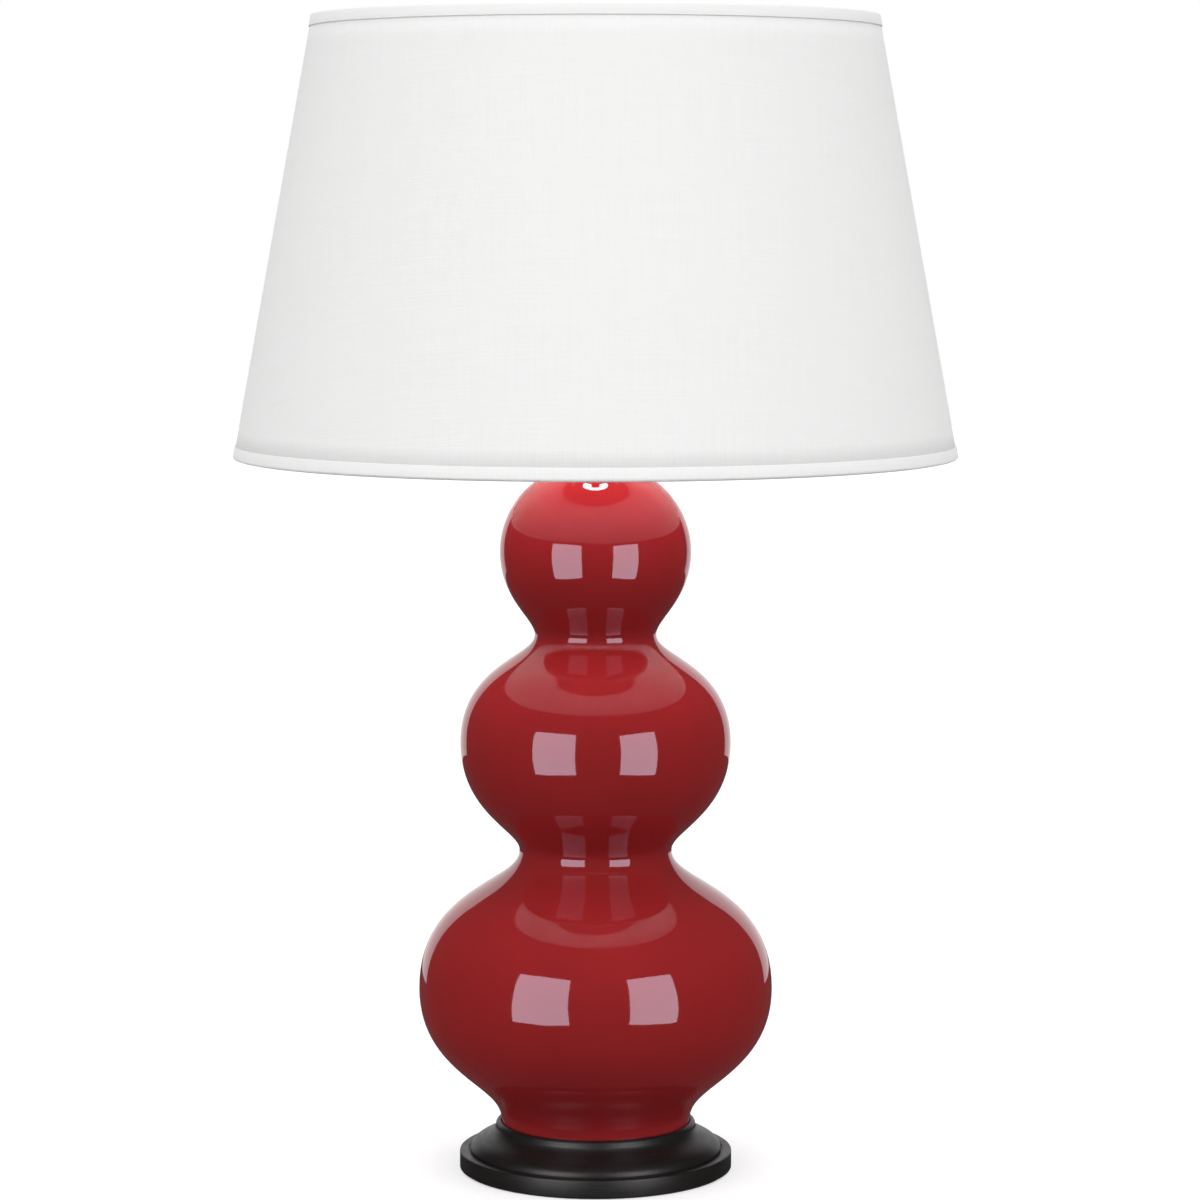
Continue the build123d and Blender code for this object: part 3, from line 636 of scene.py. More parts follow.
def in_sight(tree):
    """1 for camera, glossy and transmission rays, and 0 for the light thrown on the lamp."""
    path = add(tree, "LightPath").outputs
    straight = calc(tree, "ADD", path["Is Camera Ray"], path["Is Transmission Ray"])
    return calc(tree, "ADD", straight, path["Is Glossy Ray"])


def glaze_finish(colour):
    """Thick glossy glaze: faint clouds in the red, a fine peel in bump and roughness, and a slight
    ripple.
    """
    material, tree = new_finish("red_glaze")
    clouds = noise(tree, place_of(tree, (1, 1, 0.6)), 14.0, 3.0)
    red = tones(tree, clouds, shade_of(colour, 0.93), shade_of(colour, 1.05))
    ripple = noise(tree, place_of(tree), 34.0, 1.0)
    peel = noise(tree, place_of(tree), 420.0, 2.0)
    normal = relief(tree, ripple, 0.00022, 1.0, relief(tree, peel, 0.000004))
    rough = between(tree, peel, 0.3, 0.7, 0.03, 0.055)
    close(tree, surface(tree, red, rough, normal, IOR=1.5, Specular_Tint=(0.86, 0.81, 1.0, 1)))
    return material


def lacquer_finish(colour):
    """Satin lacquer over turned wood, with faint streaks round it and a fine grain."""
    material, tree = new_finish("plinth_lacquer")
    streaks = noise(tree, place_of(tree, (1, 1, 14)), 60.0, 4.0)
    dark = tones(tree, streaks, shade_of(colour, 0.8), shade_of(colour, 1.3))
    grain = noise(tree, place_of(tree, (1, 1, 3)), 700.0, 3.0)
    normal = relief(tree, grain, 0.00003)
    rough = between(tree, streaks, 0.3, 0.7, 0.36, 0.44)
    close(tree, surface(tree, dark, rough, normal, Specular_IOR_Level=0.3))
    return material


def grained_finish(name, dark, light, rough, grain, bump, stretch=(1, 1, 1), **plain):
    """One noise in colour and relief, and in roughness where that is a pair.

    The grain is the noise's scale, detail and roughness.
    """
    material, tree = new_finish(name)
    skin = noise(tree, place_of(tree, stretch), *grain)
    if isinstance(rough, tuple):
        rough = between(tree, skin, 0.3, 0.7, *rough)
    colour = tones(tree, skin, dark, light)
    close(tree, surface(tree, colour, rough, relief(tree, skin, bump), **plain))
    return material


def felt_finish():
    """Pressed black felt with loose fibres."""
    return grained_finish(
        "black_felt", (0.012, 0.012, 0.013), (0.05, 0.05, 0.052), 0.95, (900.0, 4.0, 0.7),
        0.0004, Sheen_Weight=0.5, Specular_IOR_Level=0.2,
    )


def metal_finish(name, colour, low, high, grain=(1, 1, 30)):
    """Worked metal, with fine tool lines round it and light handling marks."""
    material, tree = new_finish(name)
    marks = noise(tree, place_of(tree), 45.0, 3.0)
    lines = noise(tree, place_of(tree, grain), 260.0, 2.0)
    tint = tones(tree, marks, shade_of(colour, 0.86), shade_of(colour, 1.06))
    rough = between(tree, calc(tree, "MULTIPLY", marks, lines), 0.1, 0.4, low, high)
    normal = relief(tree, lines, 0.000012)
    close(tree, surface(tree, tint, rough, normal, Metallic=1.0))
    return material


def moulded_finish(name, colour, rough):
    """Moulded plastic, rubber or phenolic with a fine skin texture."""
    return grained_finish(
        name, shade_of(colour, 0.85), shade_of(colour, 1.2), (rough, rough + 0.1),
        (600.0, 3.0), 0.00004,
    )


def card_finish():
    """Grey-brown fibre card."""
    return grained_finish(
        "fibre_card", (0.15, 0.11, 0.075), (0.3, 0.23, 0.16), 0.9, (800.0, 4.0, 0.7), 0.0001,
        (1, 1, 5),
    )


def frosted_finish(glow):
    """Frosted glass that glows from inside."""
    return grained_finish(
        "frosted_glass", (0.88, 0.87, 0.84), (0.93, 0.92, 0.9), (0.3, 0.4), (1500.0, 2.0),
        0.00002, Emission_Color=(1.0, 0.95, 0.88, 1), Emission_Strength=glow,
    )


def clear_finish():
    """Clear glass with faint draw lines."""
    return grained_finish(
        "clear_glass", (0.92, 0.94, 0.94), (0.97, 0.98, 0.98), 0.03, (120.0, 2.0), 0.00005,
        (1, 1, 0.2), Transmission_Weight=1.0, IOR=1.5,
    )


def weave_height(tree, pitch, turn=0.0):
    """The height pattern of a plain weave of round threads, pitch metres apart."""
    split = add(tree, "SeparateXYZ", {"Vector": cloth_of(tree, turn=turn)})
    across = calc(tree, "SINE", calc(tree, "MULTIPLY", split.outputs[0], math.tau / pitch), 0)
    along = calc(tree, "SINE", calc(tree, "MULTIPLY", split.outputs[1], math.tau / pitch), 0)
    return calc(tree, "MULTIPLY", across, along)


def cloth_finish(name, colour, turn=0.0, through=0.17):
    """Linen-like cloth: a plain weave, slubs both ways and a soft glow of light through it."""
    material, tree = new_finish(name)
    weft = noise(tree, cloth_of(tree, (14, 950, 1), turn), 1.0, 3.0, 0.6)
    warp = noise(tree, cloth_of(tree, (950, 14, 1), turn), 1.0, 3.0, 0.6)
    slubs = calc(tree, "ADD", calc(tree, "MULTIPLY", weft, 0.5), calc(tree, "MULTIPLY", warp, 0.5))
    weave = weave_height(tree, 0.00062, turn)
    height = calc(tree, "ADD", slubs, calc(tree, "MULTIPLY", weave, 0.15))
    tint = tones(tree, height, shade_of(colour, 0.972), shade_of(colour, 1.01), 0.35, 0.65)
    normal = relief(tree, height, 0.0002)
    body = surface(tree, tint, 0.85, normal, Sheen_Weight=0.15, Specular_IOR_Level=0.25)
    glow = add(tree, "BsdfTranslucent", {"Color": tint, "Normal": normal}).outputs[0]
    close(tree, blend(tree, through, body, glow))
    return material


def lining_finish(colour, through=0.5):
    """Smooth stiff laminate that lets light through."""
    material, tree = new_finish("shade_laminate")
    clouds = noise(tree, place_of(tree), 30.0, 2.0)
    tint = tones(tree, clouds, shade_of(colour, 0.97), colour)
    body = surface(tree, tint, 0.45, relief(tree, clouds, 0.0003))
    glow = add(tree, "BsdfTranslucent", {"Color": tint}).outputs[0]
    close(tree, blend(tree, through, body, glow))
    return material


def paint_finish(name, colour):
    """Thin gloss paint on wire."""
    return grained_finish(name, shade_of(colour, 0.94), colour, 0.3, (500.0, 2.0), 0.00002)


# Shade geometry, worked out from its slant


class Cone:
    """The shade's cone: where its foot is, and how far in and up each metre of slant goes."""

    def __init__(self, sizes):
        fall = sizes.bottom_radius - sizes.top_radius
        rise = math.sqrt(sizes.slant**2 - fall**2)
        self.radius = sizes.bottom_radius
        self.foot = foot_of("finial_base") + sizes.drop - rise
        self.inward = fall / sizes.slant
        self.upward = rise / sizes.slant
        self.apex = sizes.bottom_radius / self.inward

    def at(self, up, out):
        """(radius, height) of a point that far up the slant and out from the cloth's face."""
        return (
            self.radius - self.inward * up + self.upward * out,
            self.foot + self.upward * up + self.inward * out,
        )


def cone_sheet(cone, low, high, face, overlap, lift):
    """One sheet bent round the cone, with its ends lapped at the back.

    Its flat cut is kept as its own coordinates, in metres.
    """
    lap = overlap / cone.radius
    half_turn = math.pi + lap / 2
    shape = bmesh.new()
    bmesh.ops.create_grid(shape, x_segments=288, y_segments=16, size=1.0)
    cut = shape.loops.layers.uv.new("cut")
    for sheet_face in shape.faces:
        for loop in sheet_face.loops:
            swing = loop.vert.co.x * half_turn * cone.inward
            reach = cone.apex - (low + (high - low) * (loop.vert.co.y + 1) / 2)
            loop[cut].uv = (reach * math.sin(swing), -reach * math.cos(swing))
    for vert in shape.verts:
        turn = vert.co.x * half_turn
        up = low + (high - low) * (vert.co.y + 1) / 2
        ease = min(1.0, max(0.0, (turn - math.pi + lap) / lap))
        radius, height = cone.at(up, face + lift * ease * ease * (3 - 2 * ease))
        vert.co = (radius * math.sin(turn), -radius * math.cos(turn), height)
    bmesh.ops.recalc_face_normals(shape, faces=shape.faces)
    return shape


def unroll(shape, scale):
    """Give a turned band its own flat coordinates, round it and along its profile."""
    cut = shape.loops.layers.uv.new("cut")
    for face in shape.faces:
        middle = face.calc_center_median()
        turn = math.atan2(middle.x, -middle.y)
        for loop in face.loops:
            place = loop.vert.co
            own = math.atan2(place.x, -place.y)
            own += math.tau * round((turn - own) / math.tau)
            loop[cut].uv = (own * scale, place.z + math.hypot(place.x, place.y))
    return shape


def wire_face(sizes):
    """How far the ring wires' middle lies out from the cloth's face."""
    return -(sizes.cloth + sizes.lining + 3 * SLIP + sizes.ring)


def folded_band(cone, sizes, edge, way):
    """The tape folded over one edge of the shade, round the ring wire."""
    inner = wire_face(sizes) - sizes.ring - SLIP
    face = SLIP + sizes.band
    corners = [
        (sizes.hem, SLIP, 0.0), (sizes.hem, face, 0.0003), (0.0, face, 0.0016),
        (0.0, inner - sizes.band, 0.0016), (sizes.hem_inside, inner - sizes.band, 0.0003),
        (sizes.hem_inside, inner, 0.0), (sizes.band, inner, 0.0009), (sizes.band, SLIP, 0.0009),
    ]
    return lathe(288, *[(*cone.at(edge + way * up, out), r) for up, out, r in corners])


# Pieces


class LampOperator:
    """What every maker of a piece shares."""

    bl_options = {"REGISTER", "UNDO"}


class LAMP_OT_foot(LampOperator, bpy.types.Operator):
    """Make the felt, the plinth and what is fixed in it"""

    bl_idname = "lamp.foot"
    bl_label = "Foot"

    def execute(self, context):
        sizes = context.scene.lamp_plinth
        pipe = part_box("foot_washer")[1]
        low = foot_of("plinth")
        ledge = low + sizes.band
        root = ledge + sizes.ogee_rise
        collar_bore = reach_of("foot_gasket") + 0.0006
        collar = collar_bore + sizes.collar[1]
        collar_top = top_of("plinth")
        seat = collar_top - sizes.seat_depth
        shoulder = (sizes.shoulder, ledge)
        groove_out = sizes.shoulder + sizes.groove[0]
        groove_low = ledge - sizes.groove[1]
        body = lathe(
            192,
            (PIPE_HOLE, pipe.z), (sizes.cavity, pipe.z), (sizes.cavity, low),
            (sizes.radius, low, 0.0004), (sizes.radius, ledge, sizes.edge),
            (groove_out, ledge, 0.0002), (groove_out, groove_low),
            (sizes.shoulder, groove_low),
            s_curve(shoulder, (collar, root), sizes.ogee),
            arc((collar - sizes.collar[0], root), sizes.collar[0], 8, 90, 8),
            (collar_bore, collar_top, 0.0003), (collar_bore, seat), (PIPE_HOLE, seat),
        )
        lacquer = lacquer_finish(sizes.lacquer)
        plinth = finished(body, "turned_plinth", "lamp", "plinth_wood", lacquer, "plinth")
        hole_low, hole_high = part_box("cord_bushing")
        axis = (hole_low.z + hole_high.z) / 2
        bore = moved(
            tube(0, sizes.cord_hole, 0, sizes.radius * 2, steps=48), (0, 0, axis),
            -math.pi / 2, "X",
        )
        drill(plinth, bore)

        felt = tube(0, reach_of("felt_pad"), 0, top_of("felt_pad"), 0.0004, 128)
        finished(felt, "felt_disc", "lamp", "felt", felt_finish(), "felt_pad")

        flange = (hole_high.z - hole_low.z) / 2
        lip = hole_high.y - 0.001
        bushing = lathe(
            48,
            (0.0031, hole_low.y), (0.0044, hole_low.y), (0.0044, lip), (flange, lip),
            (flange, hole_high.y, 0.0005), (0.0031, hole_high.y, 0.0006),
        )
        moved(bushing, (0, 0, axis), -math.pi / 2, "X")
        black = moulded_finish("bushing_plastic", (0.015, 0.015, 0.016), 0.45)
        finished(bushing, "inlet_bushing", "lamp", "black_bushing", black, "cord_bushing")

        steel = metal_finish("zinc_plate", (0.62, 0.6, 0.55), 0.25, 0.4)
        dress(steel, "foot_washer", "lock_washer", "foot_nut", "lamp_pipe", "socket_set_screw")
        rubber = moulded_finish("seal_rubber", (0.02, 0.02, 0.02), 0.7)
        dress(rubber, "foot_gasket", "mouth_gasket")
        return {"FINISHED"}


class LAMP_OT_gourd(LampOperator, bpy.types.Operator):
    """Make the glazed body with its three bellies"""

    bl_idname = "lamp.gourd"
    bl_label = "Gourd"

    def execute(self, context):
        sizes = context.scene.lamp_gourd
        foot = foot_of("gourd_body")

        def above(place):
            return (place[0], foot + place[1])

        waist = above(sizes.foot)
        mouth = above(sizes.mouth)
        stretches = [
            (sizes.low_belly, sizes.foot, sizes.foot_fullness, True),
            (sizes.low_belly, sizes.low_waist, sizes.low_fullness, False),
            (sizes.middle_belly, sizes.low_waist, sizes.rising_fullness, True),
            (sizes.middle_belly, sizes.high_waist, sizes.middle_fullness, False),
            (sizes.top_belly, sizes.high_waist, sizes.top_fullness, True),
        ]

        def side(inset, steps):
            """The curved face from foot to mouth, outside or inset by the wall."""
            points = []
            for belly, narrow, fullness, rising in stretches:
                line = s_curve(above(belly), above(narrow), fullness, steps, inset)
                line = line[::-1] if rising else line
                points += line[1:] if points else line
            points += shoulder_curve(
                above(sizes.top_belly), mouth, sizes.shoulder_fullness, sizes.shoulder_flat,
                steps, inset,
            )[1:]
            return points

        ring = sizes.foot[0] - 0.01
        outer = [
            (0.008, foot + sizes.floor), (0.008, foot + 0.0015), (ring - 0.0015, foot + 0.0015),
            (ring, foot, 0.0008), (sizes.foot[0], foot, 0.0012),
        ]
        inner = [
            (0.017, mouth[1], 0.0015), (0.017, mouth[1] - sizes.wall),
            side(sizes.wall, 10)[::-1], (waist[0] - sizes.wall, foot + sizes.floor),
        ]
        body = lathe(224, *outer, side(0.0, 30), *inner)
        finished(
            body, "glazed_gourd", "lamp", "red_glaze", glaze_finish(sizes.glaze), "gourd_body",
            crease=40,
        )
        return {"FINISHED"}


class LAMP_OT_neck(LampOperator, bpy.types.Operator):
    """Make the spun cap, the turned neck and the saddle on top of the gourd"""

    bl_idname = "lamp.neck"
    bl_label = "Cap and neck"

    def execute(self, context):
        brass = metal_finish("polished_brass", context.scene.lamp_fittings.brass, 0.14, 0.26)
        low, high = ends_of("vase_cap")
        rim = reach_of("vase_cap")
        sheet = 0.0012
        cap = lathe(
            96,
            (rim, low, 0.0005), (rim, low + sheet, 0.0005),
            tangent_arc((0.0095, high), (rim - 0.0045, low + sheet), (1, 0), 16)[::-1],
            (PIPE_HOLE, high, 0.0003), (PIPE_HOLE, high - sheet),
            tangent_arc((0.0095, high - sheet), (rim - 0.0045, low), (1, 0), 10),
        )
        finished(cap, "spun_cap", "lamp", "brass", brass, "vase_cap")

        low, high = ends_of("brass_neck")
        bead, wide, waist = 0.0015, reach_of("brass_neck"), 0.0068
        middle = (low + high) / 2
        reach = (wide**2 - waist**2) ** 0.5 * 0.45
        neck = lathe(
            72,
            (PIPE_HOLE, low), (wide, low, 0.0006), (wide, low + bead, 0.0004),
            curve(
                (wide - 0.0003, low + bead), (waist, low + bead + 0.0009),
                (waist, middle - reach * 0.1), (waist, middle), 8,
            ),
            curve(
                (waist, middle), (waist, middle + reach * 0.1),
                (waist, high - bead - 0.0009), (wide - 0.0003, high - bead), 8,
            )[1:],
            (wide, high - bead, 0.0004), (wide, high, 0.0006), (PIPE_HOLE, high),
        )
        finished(neck, "neck_spool", "lamp", "brass", brass, "brass_neck")

        saddle_low, saddle_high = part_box("harp_saddle")
        sheet = 0.0016
        leg = saddle_high.x - 0.0035
        middle = saddle_low.z + sheet / 2
        shapes = [
            slab((2 * leg, 0.007, sheet), (0, 0, middle), 0.0004),
            tube(PIPE_HOLE, 0.0105, saddle_low.z, saddle_low.z + sheet, 0.0004, 72),
        ]
        for side in (-1, 1):
            end = tube(0, 0.0035, saddle_low.z, saddle_low.z + sheet, 0.0004, 48)
            shapes.append(moved(end, (side * leg, 0, 0)))
            post = tube(0, 0.002, saddle_low.z + sheet, saddle_high.z, 0.0004, 32)
            shapes.append(moved(post, (side * leg, 0, 0)))
        finished(joined(*shapes), "harp_cradle", "lamp", "brass", brass, "harp_saddle")
        return {"FINISHED"}


class LAMP_OT_harp(LampOperator, bpy.types.Operator):
    """Make the harp's wire, its two sleeves and its stud"""

    bl_idname = "lamp.harp"
    bl_label = "Harp"

    def execute(self, context):
        sizes = context.scene.lamp_fittings
        brass = metal_finish("harp_brass", sizes.brass, 0.18, 0.3, (8, 8, 1))
        sleeve_low, sleeve_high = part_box("harp_sleeve_right")
        leg = (sleeve_low.x + sleeve_high.x) / 2
        base = sleeve_low.z
        foot = foot_of("harp_wire")
        arch = top_of("harp_wire") - sizes.wire
        right = [
            (leg, foot), (leg, base + sizes.harp_straight),
            (sizes.harp_side[0], base + sizes.harp_side[1]),
            (sizes.harp_shoulder[0], base + sizes.harp_shoulder[1]), (sizes.harp_arch, arch),
        ]
        bends = [0.045, 0.16, 0.062, 0.032]
        places = [Vector((x, 0, z)) for x, z in right]
        places += [Vector((-x, 0, z)) for x, z in reversed(right)]
        bow = swept(route(places, bends + bends[::-1], 14), sizes.wire, 7)
        finished(bow, "harp_bow", "harp", "brass", brass, "harp_wire")

        inner = sizes.wire + 0.00008
        outer = (sleeve_high.x - sleeve_low.x) / 2
        for side, word in ((-1, "left"), (1, "right")):
            sleeve = lathe(
                48,
                (inner, base), (outer, base, 0.0003), (outer, base + 0.002, 0.0003),
                (outer - 0.0004, base + 0.0028), (outer - 0.0004, sleeve_high.z - 0.0028),
                (outer, sleeve_high.z - 0.002, 0.0003), (outer, sleeve_high.z, 0.0003),
                (inner, sleeve_high.z, 0.0002),
            )
            node = f"harp_sleeve_{word}"
            finished(
                moved(sleeve, (side * leg, 0, 0)), f"lock_sleeve_{word}", f"sleeve_{word}",
                "brass", brass, node,
            )

        seat = foot_of("shade_spider")
        low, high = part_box("harp_stud")
        shoulder, boss, thread = high.x, 0.005, 0.00317
        stem = [
            spot(thread, seat + (high.z - 0.0006 - seat) * i / 120) for i in range(1, 121)
        ]
        stud = lathe(
            48,
            (0, low.z), (boss, low.z, 0.0008), (boss, seat - 0.0016),
            (shoulder, seat - 0.0016, 0.0004), (shoulder, seat, 0.0004), (thread, seat),
            stem, (thread - 0.0006, high.z), (0, high.z),
        )
        cut_thread(stud, thread, seat + 0.0012, high.z - 0.0003, 0.00094, 0.0004)
        finished(stud, "threaded_stud", "harp", "brass", brass, "harp_stud", crease=50)
        return {"FINISHED"}


class LAMP_OT_socket(LampOperator, bpy.types.Operator):
    """Make the socket's cap and shell, the switch knob and what is inside"""

    bl_idname = "lamp.socket"
    bl_label = "Socket and switch"

    def execute(self, context):
        sizes = context.scene.lamp_fittings
        brass = metal_finish("socket_brass", sizes.brass, 0.12, 0.24)
        low, high = ends_of("socket_cap")
        skirt = high - 0.005
        sheet = 0.0005
        outer = reach_of("socket_cap")
        hub, dome = 0.0075, low + 0.006
        bore = 0.00515
        cap = lathe(
            96,
            (bore, low), (hub, low, 0.0006), (hub, dome, 0.0006),
            tangent_arc((outer, skirt), (hub + 0.0006, dome), (0, -1), 14)[::-1],
            (outer, high, 0.0002), (outer - sheet, high),
            tangent_arc((outer - sheet, skirt), (hub, dome + sheet), (0, -1), 10),
            (bore, dome + sheet),
        )
        finished(cap, "socket_dome", "lamp", "socket_brass", brass, "socket_cap")

        shell_low, shell_high = ends_of("socket_shell")
        wall = sizes.socket
        bead = shell_high - 0.0045
        press_low, press_rise, press_depth = shell_low + 0.0125, 0.008, 0.00018
        press = [
            spot(
                wall - press_depth * math.sin(math.pi * i / 12) ** 2,
                press_low + press_rise * i / 24,
            )
            for i in range(25)
        ]
        shell = lathe(
            96,
            (wall - sheet, shell_low), (wall, shell_low), press,
            (wall, bead - 0.0015), arc((wall - 0.0004, bead), 0.0013, -60, 60, 10),
            (wall, bead + 0.0015), (wall, shell_high, 0.0002), (wall - sheet, shell_high),
        )
        can = finished(shell, "socket_can", "lamp", "socket_brass", brass, "socket_shell")
        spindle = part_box("switch_spindle")
        axis = (spindle[0].z + spindle[1].z) / 2
        slot_half, slot_reach, slot_low = 0.0027, 0.04, shell_low - 0.002
        top_end = tube(0, slot_half, 0, slot_reach, steps=32)
        drill(can, moved(top_end, (0, 0, axis), math.pi / 2, "X"))
        slot = slab(
            (2 * slot_half, slot_reach, axis - slot_low),
            (0, -slot_reach / 2, (axis + slot_low) / 2), 0.00005,
        )
        drill(can, slot)

        dress(card_finish(), "socket_liner")
        dress(moulded_finish("phenolic", (0.035, 0.02, 0.016), 0.35), "socket_core")
        dress(brass, "socket_screw_shell", "socket_tongue", "terminal_screws")

        knob_low, knob_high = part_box("switch_knob")
        reach = knob_high.y - knob_low.y
        rim, smooth_foot, flute_depth = sizes.knob, 0.0025, 0.0007
        grip = [spot(rim, 0.003 + (reach - 0.0045) * i / 8) for i in range(9)]
        knob = lathe(
            sizes.flutes * 8,
            (0.00205, 0), (rim, 0, 0.0003), grip, (rim - 0.0012, reach, 0.0006),
            (rim * 0.45, reach, 0.0004), (rim * 0.4, reach - 0.0005), (0, reach - 0.0005),
            (0, reach - 0.002), (0.00205, reach - 0.002),
        )
        for vert in knob.verts:
            span = math.hypot(vert.co.x, vert.co.y)
            if span > rim - 0.0004 and vert.co.z > smooth_foot:
                turn = math.atan2(vert.co.y, vert.co.x)
                press_in = flute_depth * max(0.0, math.cos(turn * sizes.flutes)) ** 2
                scale = 1 - press_in * min(1.0, (vert.co.z - smooth_foot) / 0.001) / span
                vert.co.x *= scale
                vert.co.y *= scale
        moved(knob, (0, knob_high.y, axis), math.pi / 2, "X")
        black = moulded_finish("knob_plastic", (0.012, 0.012, 0.012), 0.25)
        finished(knob, "fluted_knob", "switch", "switch_plastic", black, "switch_knob", crease=50)
        rod = tube(0, 0.002, 0, spindle[1].y - spindle[0].y, 0.0003, 32)
        moved(rod, (0, spindle[1].y, axis), math.pi / 2, "X")
        finished(rod, "knob_spindle", "switch", "socket_brass", brass, "switch_spindle")
        return {"FINISHED"}


class LAMP_OT_bulb(LampOperator, bpy.types.Operator):
    """Make the frosted bulb and its screw base"""

    bl_idname = "lamp.bulb"
    bl_label = "Bulb"

    def execute(self, context):
        sizes = context.scene.lamp_fittings
        top = top_of("bulb_envelope")
        foot, neck = foot_of("bulb_base"), top_of("bulb_base") + SLIP
        throat, glass = 0.0126, 0.0008
        low = foot_of("bulb_envelope")
        envelope = lathe(
            128,
            (throat - glass, low), (throat, low), (throat, neck),
            self.face(sizes, top, neck, 0.0, 24), self.face(sizes, top, neck, glass, 12)[::-1],
            (throat - glass, neck),
        )
        frosted = frosted_finish(sizes.glow)
        finished(
            envelope, "bulb_glass", "bulb", "frosted_glass", frosted, "bulb_envelope", crease=50
        )

        base = sizes.bulb_base
        rim = top_of("bulb_base")
        wall = [
            spot(base, foot + 0.003 + (rim - 0.0005 - foot - 0.003) * i / 72)
            for i in range(73)
        ]
        screw = lathe(
            72,
            (0.009, foot), (0.0094, foot), (base - 0.0002, foot + 0.0028), wall,
            (base - 0.0004, rim), (base - 0.0004, foot + 0.0034),
        )
        cut_thread(screw, base, foot + 0.0028, rim - 0.003, 0.00363, 0.0006)
        aluminium = metal_finish("bulb_aluminium", (0.8, 0.8, 0.82), 0.2, 0.34)
        finished(screw, "screw_base", "bulb", "bulb_aluminium", aluminium, "bulb_base", crease=50)
        black = moulded_finish("bulb_black_glass", (0.01, 0.01, 0.012), 0.1)
        dress(black, "bulb_glaze")
        dress(metal_finish("bulb_solder", (0.5, 0.5, 0.5), 0.3, 0.5), "bulb_contact")
        dress(clear_finish(), "bulb_mount")
        return {"FINISHED"}

    def face(self, sizes, top, neck, inset, steps):
        """The glass from neck to crown: a hollow sweep that runs into a sphere."""
        middle = top - sizes.bulb
        drop = middle - neck
        sweep = (drop**2 + sizes.bulb_neck**2 - sizes.bulb**2) / (
            2 * (sizes.bulb - sizes.bulb_neck)
        )
        sphere = sizes.bulb - inset
        share = sphere / (sizes.bulb + sweep)
        meeting = (share * (sizes.bulb_neck + sweep), middle - share * drop)
        side = tangent_arc((sizes.bulb_neck - inset, neck), meeting, (0, 1), steps)
        return side + tangent_arc((0, middle + sphere), meeting, (1, 0), 2 * steps)[-2::-1]


class LAMP_OT_shade(LampOperator, bpy.types.Operator):
    """Make the shade: lining, cloth, folded bands, ring wires and spider"""

    bl_idname = "lamp.shade"
    bl_label = "Shade"

    def execute(self, context):
        sizes = context.scene.lamp_shade
        clear = sizes.band + SLIP
        cone = Cone(sizes)

        cloth = self.laid(
            cone_sheet(cone, clear, sizes.slant - clear, 0.0, sizes.overlap, sizes.cloth + SLIP),
            sizes.cloth, "shade_cloth", "shade_linen", cloth_finish("shade_linen", sizes.white),
            "shade_fabric",
        )
        back = -sizes.cloth - SLIP
        self.laid(
            cone_sheet(
                cone, clear, sizes.slant - clear, back, sizes.overlap * 1.3, -sizes.lining
            ),
            sizes.lining, "shade_lining", "shade_laminate", lining_finish(sizes.lining_white),
            "shade_backing",
        )

        tape = cloth_finish("hem_tape", sizes.hem_white, math.radians(45), 0.12)
        for word, edge, way in (("bottom", 0.0, 1), ("top", sizes.slant, -1)):
            shape = unroll(folded_band(cone, sizes, edge, way), cone.radius)
            node = f"shade_{word}_hem"
            finished(shape, f"{word}_band", "shade", "hem_tape", tape, node, crease=50)

        white = paint_finish("ring_paint", (0.85, 0.85, 0.84))
        wire_out = wire_face(sizes)
        for word, up in (
            ("bottom", clear + sizes.ring), ("top", sizes.slant - clear - sizes.ring)
        ):
            centre = cone.at(up, wire_out)
            ring = turned(arc(centre, sizes.ring, 0, 330, 11), 192)
            finished(ring, f"{word}_wire", "shade", "ring_paint", white, f"shade_{word}_ring")

        metal = context.scene.lamp_fittings.brass
        brass = metal_finish("spider_brass", metal, 0.18, 0.3, (8, 8, 1))
        ring_radius, ring_height = cone.at(sizes.slant - clear - sizes.ring, wire_out)
        seat, hub_top = foot_of("shade_spider"), foot_of("finial_base")
        level = hub_top + sizes.arm - (hub_top - seat) / 2
        start = sizes.hub - sizes.arm
        places = [
            Vector((start, 0, level)), Vector((0.9 * ring_radius, 0, level)),
            Vector((ring_radius, 0, ring_height)),
        ]
        shapes = [tube(0.00325, sizes.hub, seat, hub_top, 0.0003, 96)]
        for turn in (90, 210, 330):
            arm = swept(route(places, [0.009], 10), sizes.arm, 6)
            shapes.append(moved(arm, turn=math.radians(turn)))
        finished(joined(*shapes), "brass_spider", "shade", "brass", brass, "shade_spider")
        return {"FINISHED"}

    def laid(self, sheet, thickness, name, slot, material, node):
        """One layer of the cone, thickened inwards."""
        piece = finished(sheet, name, "shade", slot, material, node)
        layer = piece.modifiers.new("layer", "SOLIDIFY")
        layer.thickness = thickness
        layer.offset = -1
        return piece


